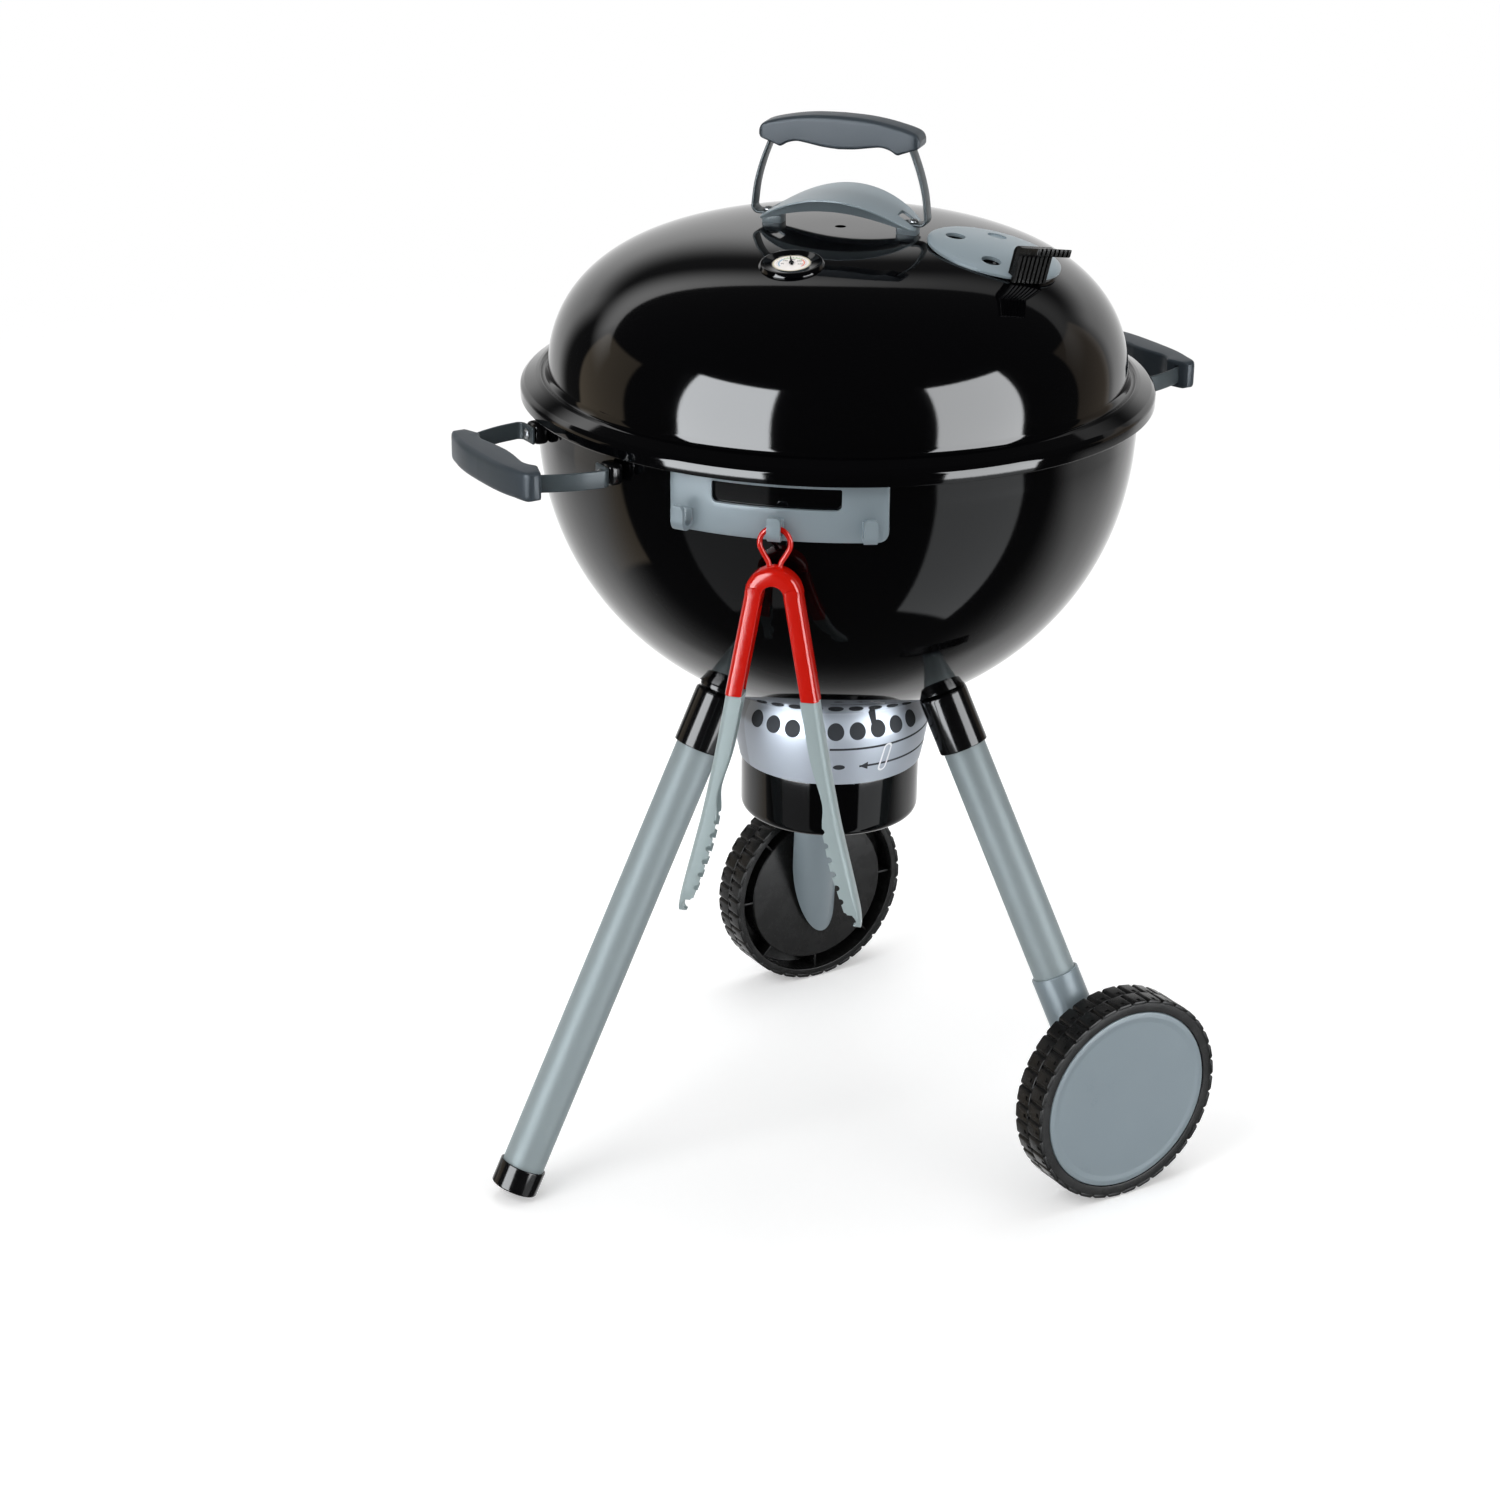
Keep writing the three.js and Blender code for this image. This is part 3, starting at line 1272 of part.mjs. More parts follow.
/** One grey blade: a channel with scalloped edges and a tenon up into the red arm. */
function tongsBlade(name, side) {
  const { bladeLength, bladeReach, depth, channelWall, tenonLength, armSpread, armLength, limb } = tongs;
  const top = pivotHeight - armLength - seatGap;
  const place = ([down, out]) => [out * bladeReach, top - down * bladeLength];
  const outside = bladeOutsideShares.map(place);
  const inside = bladeInsideShares.map(place);
  const { start, end, startOut, endOut } = toothSpanShares;
  let body = solid(prism([...outside, ...inside].reverse(), depth));
  const hollow = outside.map(([x, y]) => [x - channelWall, y]);
  const [firstX, firstY] = hollow[0];
  const [lastX, lastY] = hollow[hollow.length - 1];
  const room = [...hollow.slice(0, -1), [0, lastY + channelWall], [0, firstY - channelWall],
    [firstX, firstY - channelWall]].slice(1);
  body = body.subtract(solid(prism(room.reverse(), depth - 2 * channelWall)));
  for (let i = 0; i < tongs.toothCount; i += 1) {
    const share = i / (tongs.toothCount - 1);
    const [x, y] = place([start + (end - start) * share, startOut + (endOut - startOut) * share]);
    const tooth = bar(tongs.toothDepth, -depth, depth, 8).translate(x - tongs.toothDepth / 3, y, 0);
    body = body.subtract(solid(tooth));
  }
  const lean = armSpread / armLength;
  const far = tongs.pivotOut + limb / 2 + armSpread - channelWall - seatGap;
  const rootHeight = top - channelWall * 2;
  const tenon = [
    [far - limb / 2, rootHeight], [far, rootHeight],
    [far - lean * tenonLength, top + tenonLength], [far - limb / 2 - lean * tenonLength, top + tenonLength],
  ];
  body = body.add(solid(prism(tenon, depth - 2 * channelWall - 2 * seatGap)));
  return piece(name, side > 0 ? body : body.mirror([1, 0, 0]), toolGrey());
}

function tongsGroup() {
  const pieces = [tongsCrown()];
  for (const [name, side] of [['right', 1], ['left', -1]]) {
    pieces.push(tongsArm(`tongs_arm_${name}`, side), tongsBlade(`tongs_blade_${name}`, side));
  }
  return groupIn(hookFrame(hook.tongsTurnDegrees), pieces);
}

// Whole grill

function playGrill() {
  const grill = new THREE.Group();
  grill.add(
    bowlShell(),
    wireGrate('charcoal_grate', charcoalHeight, grateBars.charcoal, darkGrateGrey()),
    wireGrate('cooking_grate', cookingHeight, grateBars.cooking, grateGrey()),
    emberBed(),
    coalHeap(),
    ashRingPiece(),
    ashPotPiece(),
    ...legGroups(),
    ...wheelGroups(),
    ...sideHandleGroups(),
    rackPiece(),
    lidShell(),
    lidHandleGroup(),
    thermometerGroup(),
    groupIn(damperFrame, [damperDisc(), damperTab(), damperClip()]),
    tongsGroup(),
  );
  return grill;
}

export default playGrill();
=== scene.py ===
"""Dresses a child's play kettle grill with its finished shapes, surfaces and studio."""

from __future__ import annotations

import logging
import math
from collections.abc import Callable, Sequence
from dataclasses import dataclass, field
from enum import Enum
from itertools import pairwise

import bpy
from mathutils import Matrix, Vector


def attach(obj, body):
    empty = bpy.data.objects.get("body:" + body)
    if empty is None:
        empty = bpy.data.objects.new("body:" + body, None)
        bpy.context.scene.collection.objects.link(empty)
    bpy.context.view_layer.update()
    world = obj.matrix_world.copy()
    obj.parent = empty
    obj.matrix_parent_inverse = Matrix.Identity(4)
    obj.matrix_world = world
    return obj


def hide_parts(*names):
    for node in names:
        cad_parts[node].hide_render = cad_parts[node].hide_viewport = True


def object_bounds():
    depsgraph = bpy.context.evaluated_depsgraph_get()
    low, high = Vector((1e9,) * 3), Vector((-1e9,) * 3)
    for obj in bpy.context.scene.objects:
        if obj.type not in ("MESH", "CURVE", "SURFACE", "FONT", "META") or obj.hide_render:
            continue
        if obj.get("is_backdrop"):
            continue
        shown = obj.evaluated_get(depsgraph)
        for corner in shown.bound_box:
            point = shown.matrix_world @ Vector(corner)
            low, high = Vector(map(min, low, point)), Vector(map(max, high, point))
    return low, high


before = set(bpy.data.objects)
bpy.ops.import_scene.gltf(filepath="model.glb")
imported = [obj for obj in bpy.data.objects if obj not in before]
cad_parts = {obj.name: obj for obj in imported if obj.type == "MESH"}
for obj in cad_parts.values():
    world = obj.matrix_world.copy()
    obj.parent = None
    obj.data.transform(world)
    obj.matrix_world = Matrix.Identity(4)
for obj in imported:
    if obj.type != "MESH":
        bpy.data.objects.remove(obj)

log = logging.getLogger("play_grill")
MM = 0.001
WELD = MM * 0.004
Point = tuple[float, float]
Corner = tuple[float, float, float]
Station = tuple[float, float, float, float, float]
Object = bpy.types.Object
Material = bpy.types.Material
Node = bpy.types.Node
NodeTree = bpy.types.NodeTree
Socket = bpy.types.NodeSocket
UP = Vector((0, 0, 1))


class Body(Enum):
    """The bodies that pieces ride on."""

    KETTLE = "kettle"
    CHARCOAL = "charcoal_layer"
    COOKING = "cooking_layer"
    LID = "lid"
    DAMPER = "damper"
    WHEEL_RIGHT = "wheel_right"
    WHEEL_LEFT = "wheel_left"
    TONGS = "tongs"
    TONGS_RIGHT = "tongs_right"
    TONGS_LEFT = "tongs_left"


class Finish(Enum):
    """The finishes on the grill, each named after its slot in the record."""

    ENAMEL = "enamel_black"
    SATIN = "satin_black"
    WHEEL = "wheel_black"
    LEG = "leg_grey"
    LIGHT = "light_grey"
    GRIP = "grip_grey"
    STRAP = "strap_grey"
    RED = "tool_red"
    PALE = "tool_grey"
    RING = "ring_silver"
    STEEL = "screw_steel"
    GRATE = "grate_grey"
    DARK_GRATE = "grate_dark"
    EMBER = "ember_red"
    COAL = "coal_black"
    DIAL = "dial_white"


# Plane geometry


def arc(cx: float, cy: float, radius: float, start: float, end: float, steps: int = 8) -> list[Point]:
    """Points of a circular arc.

    Args:
        cx: Centre's first coordinate.
        cy: Centre's second coordinate.
        radius: Radius of the arc.
        start: First angle in degrees.
        end: Last angle in degrees.
        steps: Number of chords.

    Returns:
        The points, both ends included.
    """
    turns = [math.radians(start + (end - start) * i / steps) for i in range(steps + 1)]
    return [(cx + radius * math.cos(a), cy + radius * math.sin(a)) for a in turns]


def rounded(corners: Sequence[Corner], closed: bool = True, steps: int = 5) -> list[Point]:
    """A path whose corners are rounded.

    Args:
        corners: Each corner's two coordinates and its rounding radius.
        closed: Whether the last corner joins the first.
        steps: Number of chords in each rounding.

    Returns:
        The points of the path.
    """
    points: list[Point] = []
    count = len(corners)
    for i, (x, y, radius) in enumerate(corners):
        if radius <= 0 or (not closed and i in (0, count - 1)):
            points.append((x, y))
            continue
        here = Vector((x, y))
        before = Vector(corners[i - 1][:2]) - here
        after = Vector(corners[(i + 1) % count][:2]) - here
        half = before.angle(after) / 2
        reach = min(radius / math.tan(half), 0.49 * before.length, 0.49 * after.length)
        first, last = here + before.normalized() * reach, here + after.normalized() * reach
        for k in range(steps + 1):
            t = k / steps
            p = first * (1 - t) ** 2 + here * 2 * t * (1 - t) + last * t**2
            points.append((p.x, p.y))
    return points


def level_on(curve: Sequence[Point], x: float) -> float:
    """The height of a curve, given as points from left to right, at a place along it.

    Args:
        curve: Points from left to right.
        x: The place along it.

    Returns:
        The height.
    """
    for (x0, y0), (x1, y1) in pairwise(curve):
        if x <= x1:
            return y0 + (y1 - y0) * max(x - x0, 0.0) / max(x1 - x0, 1e-9)
    return curve[-1][1]


def rounded_box(left: float, right: float, low: float, high: float, corner: float) -> list[Point]:
    """A rectangle with rounded corners, from its four sides and its corner radius."""
    return rounded([(right, low, corner), (right, high, corner), (left, high, corner), (left, low, corner)])


def eased(points: Sequence[Point], chords: int = 5) -> list[Point]:
    """A smooth open curve through points.

    Args:
        points: The points that the curve passes through.
        chords: Number of chords between two points.

    Returns:
        The points of the curve.
    """
    count = len(points)
    curve: list[Point] = []
    for i in range(count - 1):
        p0, p1, p2, p3 = (Vector(points[min(max(i + k, 0), count - 1)]) for k in (-1, 0, 1, 2))
        for k in range(chords):
            t = k / chords
            bend = (2 * p0 - 5 * p1 + 4 * p2 - p3) * t**2 + (3 * p1 - p0 - 3 * p2 + p3) * t**3
            p = 0.5 * (2 * p1 + (p2 - p0) * t + bend)
            curve.append((p.x, p.y))
    return [*curve, tuple(points[-1])]


def band(path: Sequence[Point], thickness: float) -> list[Point]:
    """The outline of a strip of even thickness along an open path.

    Args:
        path: Points of its middle line.
        thickness: Its thickness.

    Returns:
        The points.
    """
    left: list[Point] = []
    right: list[Point] = []
    for i, (x, y) in enumerate(path):
        before, after = Vector(path[max(i - 1, 0)]), Vector(path[min(i + 1, len(path) - 1)])
        along = (after - before).normalized() * thickness / 2
        left.append((x - along.y, y + along.x))
        right.append((x + along.y, y - along.x))
    return [*left, *reversed(right)]


# Frames


def frame_of(origin: Vector, x_axis: Vector, z_axis: Vector) -> Matrix:
    """A frame in metres from an origin in millimetres, an X axis and a Z axis.

    Args:
        origin: The origin in millimetres.
        x_axis: Roughly the X axis.
        z_axis: The Z axis.

    Returns:
        The frame.
    """
    z = z_axis.normalized()
    y = z.cross(x_axis).normalized()
    x = y.cross(z)
    turn = Matrix((x, y, z)).transposed().to_4x4()
    return Matrix.Translation(origin * MM) @ turn


def outward(azimuth: float) -> Vector:
    """The horizontal direction at an azimuth in degrees from +X."""
    a = math.radians(azimuth)
    return Vector((math.cos(a), math.sin(a), 0))


def across(azimuth: float) -> Vector:
    """The horizontal direction square to an azimuth, anticlockwise from above."""
    return UP.cross(outward(azimuth))


def turned_by(degrees: float, axis: str = "Z") -> Matrix:
    """A turn about an axis."""
    return Matrix.Rotation(math.radians(degrees), 4, axis)


def moved_by(x: float, y: float, z: float) -> Matrix:
    """A move by lengths in millimetres."""
    return Matrix.Translation((x * MM, y * MM, z * MM))


# Modelling


def deselect() -> None:
    """Leave edit mode and select nothing."""
    if bpy.context.mode != "OBJECT":
        bpy.ops.object.mode_set(mode="OBJECT")
    bpy.ops.object.select_all(action="DESELECT")


def take(piece: Object) -> None:
    """Make one piece the only selected and active object.

    Args:
        piece: The piece.
    """
    deselect()
    piece.select_set(True)
    bpy.context.view_layer.objects.active = piece


def started(name: str) -> Object:
    """The primitive that was just added, with its name set.

    Args:
        name: The name.

    Returns:
        The primitive.
    """
    piece = bpy.context.object
    piece.name = piece.data.name = name
    return piece


def traced(name: str, points: Sequence[Sequence[float]]) -> Object:
    """Add a plane, merge it to a vertex and extrude that along points given in millimetres.

    Args:
        name: Name of the new piece.
        points: Points with three coordinates.

    Returns:
        The piece, in edit mode, with all of it selected.
    """
    deselect()
    bpy.ops.mesh.primitive_plane_add(size=MM)
    piece = started(name)
    bpy.ops.object.mode_set(mode="EDIT")
    bpy.ops.mesh.select_all(action="SELECT")
    bpy.ops.mesh.merge(type="CENTER")
    places = [Vector(p) * MM for p in points]
    bpy.ops.transform.translate(value=places[0])
    for before, after in pairwise(places):
        bpy.ops.mesh.extrude_vertices_move(TRANSFORM_OT_translate={"value": after - before})
    bpy.ops.mesh.select_all(action="SELECT")
    return piece


def closed_up() -> None:
    """Merge doubles, turn the faces outwards and leave edit mode."""
    bpy.ops.mesh.select_all(action="SELECT")
    bpy.ops.mesh.remove_doubles(threshold=WELD)
    bpy.ops.mesh.normals_make_consistent(inside=False)
    bpy.ops.object.mode_set(mode="OBJECT")


def smoothed(piece: Object, angle: float = 32) -> Object:
    """Shade a piece smooth, with creases kept above an angle in degrees.

    Args:
        piece: The piece.
        angle: Sharper edges stay creased.

    Returns:
        The piece.
    """
    take(piece)
    bpy.ops.object.shade_smooth_by_angle(angle=math.radians(angle))
    return piece


def turned(name: str, profile: Sequence[Point], steps: int = 96) -> Object:
    """Spin a profile of radii and heights round Z.

    Args:
        name: Name of the new piece.
        profile: Radius and height of each point, on the axis at both ends or closed.
        steps: Number of steps round the axis.

    Returns:
        The smoothly shaded piece.
    """
    piece = traced(name, [(r, 0, z) for r, z in profile])
    bpy.ops.mesh.spin(steps=steps, angle=2 * math.pi, center=(0, 0, 0), axis=(0, 0, 1))
    closed_up()
    return smoothed(piece)


def faced(name: str, points: Sequence[Sequence[float]]) -> Object:
    """Trace a closed outline given in millimetres and fill it, still in edit mode.

    Args:
        name: Name of the new piece.
        points: Its corners.

    Returns:
        The piece.
    """
    piece = traced(name, [*points, points[0]])
    bpy.ops.mesh.remove_doubles(threshold=WELD)
    bpy.ops.mesh.select_all(action="SELECT")
    bpy.ops.mesh.edge_face_add()
    return piece


def push(step: Sequence[float]) -> None:
    """Extrude the selected face by a step in millimetres."""
    bpy.ops.mesh.extrude_region_move(TRANSFORM_OT_translate={"value": Vector(step) * MM})


def plated(name: str, outline: Sequence[Point], depth: float) -> Object:
    """Fill an outline and extrude it to a depth, centred on its own plane.

    Args:
        name: Name of the new piece.
        outline: Its outline.
        depth: Its depth.

    Returns:
        The piece.
    """
    piece = faced(name, [(x, y, -depth / 2) for x, y in outline])
    bpy.ops.mesh.extrude_region_move(TRANSFORM_OT_translate={"value": (0, 0, depth * MM)})
    closed_up()
    return piece


def rod(name: str, radius: float, start: Sequence[float], end: Sequence[float], sides: int = 16) -> Object:
    """A straight round bar between two points, with softened ends.

    Args:
        name: Name of the new piece.
        radius: Its radius.
        start: Its first end.
        end: Its last end.
        sides: Steps round it.

    Returns:
        The piece.
    """
    first, last = Vector(start), Vector(end)
    length = (last - first).length
    ease = min(radius * 0.3, 0.6)
    corners = [(0, 0, 0), (radius, 0, ease), (radius, length, ease), (0, length, 0)]
    piece = turned(name, rounded(corners, closed=False, steps=2), sides)
    aside = Vector((1, 0, 0)) if abs((last - first).normalized().x) < 0.9 else UP
    return placed(piece, frame_of(first, aside, last - first))


def block(name: str, low: Sequence[float], high: Sequence[float], soft: float = 0.8) -> Object:
    """A box between two corners with its edges bevelled.

    Args:
        name: Name of the new piece.
        low: Its lowest corner.
        high: Its highest corner.
        soft: Width of the bevel.

    Returns:
        The piece.
    """
    deselect()
    a, b = Vector(low) * MM, Vector(high) * MM
    bpy.ops.mesh.primitive_cube_add(size=1, location=(a + b) / 2, scale=b - a)
    piece = started(name)
    bpy.ops.object.transform_apply(location=True, rotation=True, scale=True)
    return softened(piece, soft) if soft else piece


def modified(piece: Object, kind: str, **settings: object) -> Object:
    """Add a modifier with its settings and apply it.

    Args:
        piece: The piece.
        kind: The modifier's type.
        **settings: The modifier's settings.

    Returns:
        The piece.
    """
    take(piece)
    bpy.ops.object.modifier_add(type=kind)
    modifier = piece.modifiers[-1]
    for name, value in settings.items():
        setattr(modifier, name, value)
    bpy.ops.object.modifier_apply(modifier=modifier.name)
    return piece


def softened(piece: Object, width: float, segments: int = 3, angle: float = 40) -> Object:
    """Bevel the edges of a piece that are sharper than an angle in degrees.

    Args:
        piece: The piece.
        width: Width of the bevel.
        segments: Segments across it.
        angle: Edges sharper than this are bevelled.

    Returns:
        The piece.
    """
    limit = math.radians(angle)
    modified(piece, "BEVEL", width=width * MM, segments=segments, limit_method="ANGLE", angle_limit=limit)
    return smoothed(piece)


def cut(piece: Object, *tools: Object, common: bool = False) -> Object:
    """Cut tools out of a piece, or keep what they have in common.

    Args:
        piece: The piece.
        *tools: The tools, used up by it.
        common: Whether to keep what is common.

    Returns:
        The piece.
    """
    operation = "INTERSECT" if common else "DIFFERENCE"
    for tool in tools:
        modified(piece, "BOOLEAN", object=tool, operation=operation, solver="EXACT")
        bpy.data.objects.remove(tool, do_unlink=True)
    return piece


def joined(name: str, pieces: Sequence[Object]) -> Object:
    """Join pieces into one object.

    Args:
        name: Its name.
        pieces: The pieces.

    Returns:
        The one object.
    """
    take(pieces[0])
    for piece in pieces[1:]:
        piece.select_set(True)
    bpy.ops.object.join()
    return started(name)


def placed(piece: Object, place: Matrix) -> Object:
    """Put a piece in a frame and apply the place to its mesh.

    Args:
        piece: The piece.
        place: The frame.

    Returns:
        The piece.
    """
    take(piece)
    piece.matrix_world = place @ piece.matrix_world
    bpy.ops.object.transform_apply(location=True, rotation=True, scale=True)
    return piece


def copied(piece: Object, name: str, place: Matrix | None = None) -> Object:
    """A copy of a piece with its own mesh, put in a frame if one is given.

    Args:
        piece: The piece.
        name: The copy's name.
        place: The copy's frame.

    Returns:
        The copy.
    """
    take(piece)
    bpy.ops.object.duplicate(linked=False)
    twin = started(name)
    return placed(twin, place) if place else twin


def flipped(piece: Object, axis: int) -> Object:
    """Mirror a piece across the plane square to an axis, with its faces still outwards.

    Args:
        piece: The piece.
        axis: 0, 1 or 2, for X, Y or Z.

    Returns:
        The piece.
    """
    scale = [1.0, 1.0, 1.0]
    scale[axis] = -1.0
    placed(piece, Matrix.Diagonal((*scale, 1.0)))
    bpy.ops.object.mode_set(mode="EDIT")
    closed_up()
    return piece


def lofted(name: str, section: Sequence[Point], stations: Sequence[Station]) -> Object:
    """Extrude a section along X, with its place and size changed at each station.

    Args:
        name: Name of the new piece.
        section: The section's points across and up, each between -0.5 and 0.5.
        stations: X, lateral middle, middle height, width and height of the section, in millimetres.

    Returns:
        The closed piece.
    """
    x, side, level, wide, high = stations[0]
    piece = faced(name, [(x, level + up * high, side + out * wide) for out, up in section])
    for before, after in pairwise(stations):
        push((after[0] - before[0], after[2] - before[2], after[1] - before[1]))
        middle = Vector((after[0], after[2], after[1])) * MM
        ratio = (1, after[4] / before[4], after[3] / before[3])
        bpy.ops.transform.resize(value=ratio, center_override=middle)
    closed_up()
    return piece


def bevelled_edges(
    piece: Object, chosen: Callable[[Vector, Vector], bool], width: float, segments: int
) -> Object:
    """Bevel the edges that a test on their two ends, in millimetres, chooses.

    Args:
        piece: The piece.
        chosen: The test.
        width: Width of the bevel.
        segments: Segments across it.

    Returns:
        The piece.
    """
    take(piece)
    bpy.ops.object.mode_set(mode="EDIT")
    bpy.ops.mesh.select_all(action="DESELECT")
    bpy.ops.mesh.select_mode(type="EDGE")
    bpy.ops.object.mode_set(mode="OBJECT")
    corners = piece.data.vertices
    for edge in piece.data.edges:
        ends = [corners[i].co / MM for i in edge.vertices]
        edge.select = chosen(*ends)
    bpy.ops.object.mode_set(mode="EDIT")
    bpy.ops.mesh.bevel(offset=width * MM, segments=segments, affect="EDGES")
    bpy.ops.mesh.select_mode(type="VERT")
    closed_up()
    return smoothed(piece)


def trimmed(piece: Object, at: Vector, normal: Vector) -> Object:
    """Cut a piece at a plane and keep what lies behind it, closed by a flat face.

    Args:
        piece: The piece.
        at: A point of the plane.
        normal: Its normal.

    Returns:
        The piece.
    """
    take(piece)
    bpy.ops.object.mode_set(mode="EDIT")
    bpy.ops.mesh.select_all(action="SELECT")
    bpy.ops.mesh.bisect(plane_co=at * MM, plane_no=normal, use_fill=True, clear_outer=True)
    closed_up()
    return smoothed(piece)


def wire(name: str, path: Sequence[Sequence[float]], radius: float) -> Object:
    """A round wire along an open path in millimetres.

    Args:
        name: Name of the new piece.
        path: Points of its middle line.
        radius: Its radius.

    Returns:
        The piece.
    """
    traced(name, path)
    bpy.ops.mesh.remove_doubles(threshold=WELD)
    bpy.ops.object.mode_set(mode="OBJECT")
    bpy.ops.object.convert(target="CURVE")
    curve = bpy.context.object
    curve.data.bevel_depth = radius * MM
    curve.data.bevel_resolution = 5
    curve.data.use_fill_caps = True
    bpy.ops.object.convert(target="MESH")
    return smoothed(started(name), 60)


# Finishes


class Nodes:
    """Adds, sets and links the nodes of one tree."""

    def __init__(self, tree: NodeTree) -> None:
        """Keep the tree."""
        self.tree = tree

    def add(self, kind: str, inputs: dict[str | int, object] | None = None, **settings: object) -> Node:
        """Add a node, set its properties, and set or link its inputs.

        Args:
            kind: The node type's name after its common prefix.
            inputs: Value or socket for each named or numbered input.
            settings: Properties of the node.

        Returns:
            The new node.
        """
        node = self.tree.nodes.new(f"ShaderNode{kind}" if not kind.startswith("NodeGroup") else kind)
        for name, value in settings.items():
            setattr(node, name, value)
        for name, value in (inputs or {}).items():
            self.put(node.inputs[name], value)
        return node

    def put(self, socket: Socket, value: object) -> None:
        """Link a socket or a field to an input, or set the input's value.

        Args:
            socket: The input.
            value: What it gets.
        """
        value = value.socket if isinstance(value, Field) else value
        if isinstance(value, Socket):
            self.tree.links.new(value, socket)
        else:
            socket.default_value = value

    def ramp(
        self, value: Field | Socket, ends: Point, gives: Point = (0.0, 1.0), eased: bool = False
    ) -> Field:
        """A value's place between two ends, as a field.

        Args:
            value: The value.
            ends: The values where the ramp starts and stops.
            gives: What the ramp gives there.
            eased: Whether the ramp starts and stops gently.

        Returns:
            The field.
        """
        inputs = {"Value": value, "From Min": ends[0], "From Max": ends[1]}
        inputs |= {"To Min": gives[0], "To Max": gives[1]}
        kind = "SMOOTHSTEP" if eased else "LINEAR"
        return Field(self, self.add("MapRange", inputs, interpolation_type=kind).outputs[0])

    def noise(self, place: Socket, scale: float | Socket, detail: float) -> Field:
        """Clouded noise as a field."""
        inputs = {"Vector": place, "Scale": scale, "Detail": detail}
        return Field(self, self.add("TexNoise", inputs).outputs["Fac"])

    def mix(self, share: Field, first: object, second: object) -> Socket:
        """Two colours mixed by a share."""
        inputs = {"Factor": share, "A": first, "B": second}
        return self.add("Mix", inputs, data_type="RGBA").outputs["Result"]

    def axes(self, place: Socket) -> list[Field]:
        """The three coordinates of a place."""
        return [Field(self, axis) for axis in self.add("SeparateXYZ", {0: place}).outputs]


class Field:
    """A number that varies over a surface, built from Math nodes."""

    def __init__(self, nodes: Nodes, socket: Socket) -> None:
        """Keep the tree's nodes and the socket that gives the number."""
        self.nodes = nodes
        self.socket = socket

    def do(self, operation: str, *others: object) -> Field:
        """The result of a Math node on this field and other values."""
        inputs = dict(enumerate((self, *others)))
        return Field(self.nodes, self.nodes.add("Math", inputs, operation=operation).outputs[0])

    def __add__(self, other: object) -> Field:
        """Sum with a field or a number."""
        return self.do("ADD", other)

    def __sub__(self, other: object) -> Field:
        """Difference from a field or a number."""
        return self.do("SUBTRACT", other)

    def __mul__(self, other: object) -> Field:
        """Product with a field or a number."""
        return self.do("MULTIPLY", other)

    def __lt__(self, other: object) -> Field:
        """One where this field is the smaller, else zero."""
        return self.do("LESS_THAN", other)

    def __gt__(self, other: object) -> Field:
        """One where this field is the larger, else zero."""
        return self.do("GREATER_THAN", other)

    def size(self) -> Field:
        """The absolute value."""
        return self.do("ABSOLUTE")

    def either(self, other: Field) -> Field:
        """The larger of two fields."""
        return self.do("MAXIMUM", other)

    def both(self, other: Field) -> Field:
        """The smaller of two fields."""
        return self.do("MINIMUM", other)

    def length_with(self, other: Field) -> Field:
        """The length of the vector that two fields make."""
        return (self * self + other * other).do("SQRT")


def new_group(name: str, inputs: dict[str, str], outputs: dict[str, str]) -> tuple[NodeTree, Nodes]:
    """An empty shader node group with named sockets.

    Args:
        name: Name of the group.
        inputs: Socket type for each input name.
        outputs: Socket type for each output name.

    Returns:
        The group and a helper for its nodes.
    """
    group = bpy.data.node_groups.new(name, "ShaderNodeTree")
    for in_out, sockets in (("INPUT", inputs), ("OUTPUT", outputs)):
        for label, kind in sockets.items():
            group.interface.new_socket(label, in_out=in_out, socket_type=f"NodeSocket{kind}")
    return group, Nodes(group)


def moulded_surface() -> NodeTree:
    """The group for a moulded or painted skin: slow shade changes, uneven polish and a fine grain.

    Returns:
        The group.
    """
    wanted = {"Vector": "Vector", "Colour": "Color", "Shade Change": "Float", "Roughness": "Float",
              "Polish Change": "Float", "Blotch Scale": "Float", "Grain Scale": "Float"}
    results = {"Colour": "Color", "Roughness": "Float", "Height": "Float"}
    group, nodes = new_group("moulded_surface", wanted, results)
    given = nodes.add("NodeGroupInput").outputs
    blotch = nodes.noise(given["Vector"], given["Blotch Scale"], 3.0)
    grain = nodes.noise(given["Vector"], given["Grain Scale"], 2.0)
    uneven, fine = blotch - 0.5, grain - 0.5
    shade = (uneven + fine * 0.4) * given["Shade Change"] + 1.0
    tinted = nodes.add("VectorMath", {0: given["Colour"], "Scale": shade}, operation="SCALE")
    polish = (uneven + fine * 0.5) * given["Polish Change"] + given["Roughness"]
    nodes.add("NodeGroupOutput", {"Colour": tinted.outputs[0], "Roughness": polish, "Height": grain})
    return group


def handling_marks() -> NodeTree:
    """The group for faint hairlines and smudges left by play, as a mask.

    Returns:
        The group.
    """
    group, nodes = new_group("handling_marks", {"Vector": "Vector", "Scale": "Float"}, {"Mask": "Float"})
    given = nodes.add("NodeGroupInput").outputs
    drawn_out = {"Vector": given["Vector"], "Rotation": (0.4, 0.3, 0.7), "Scale": (1.0, 14.0, 5.0)}
    stretched = nodes.add("Mapping", drawn_out).outputs[0]
    lines = nodes.ramp(nodes.noise(stretched, given["Scale"], 4.0), (0.6, 0.75))
    patches = nodes.ramp(nodes.noise(given["Vector"], 9.0, 2.0), (0.45, 0.7))
    nodes.add("NodeGroupOutput", {"Mask": lines * patches})
    return group


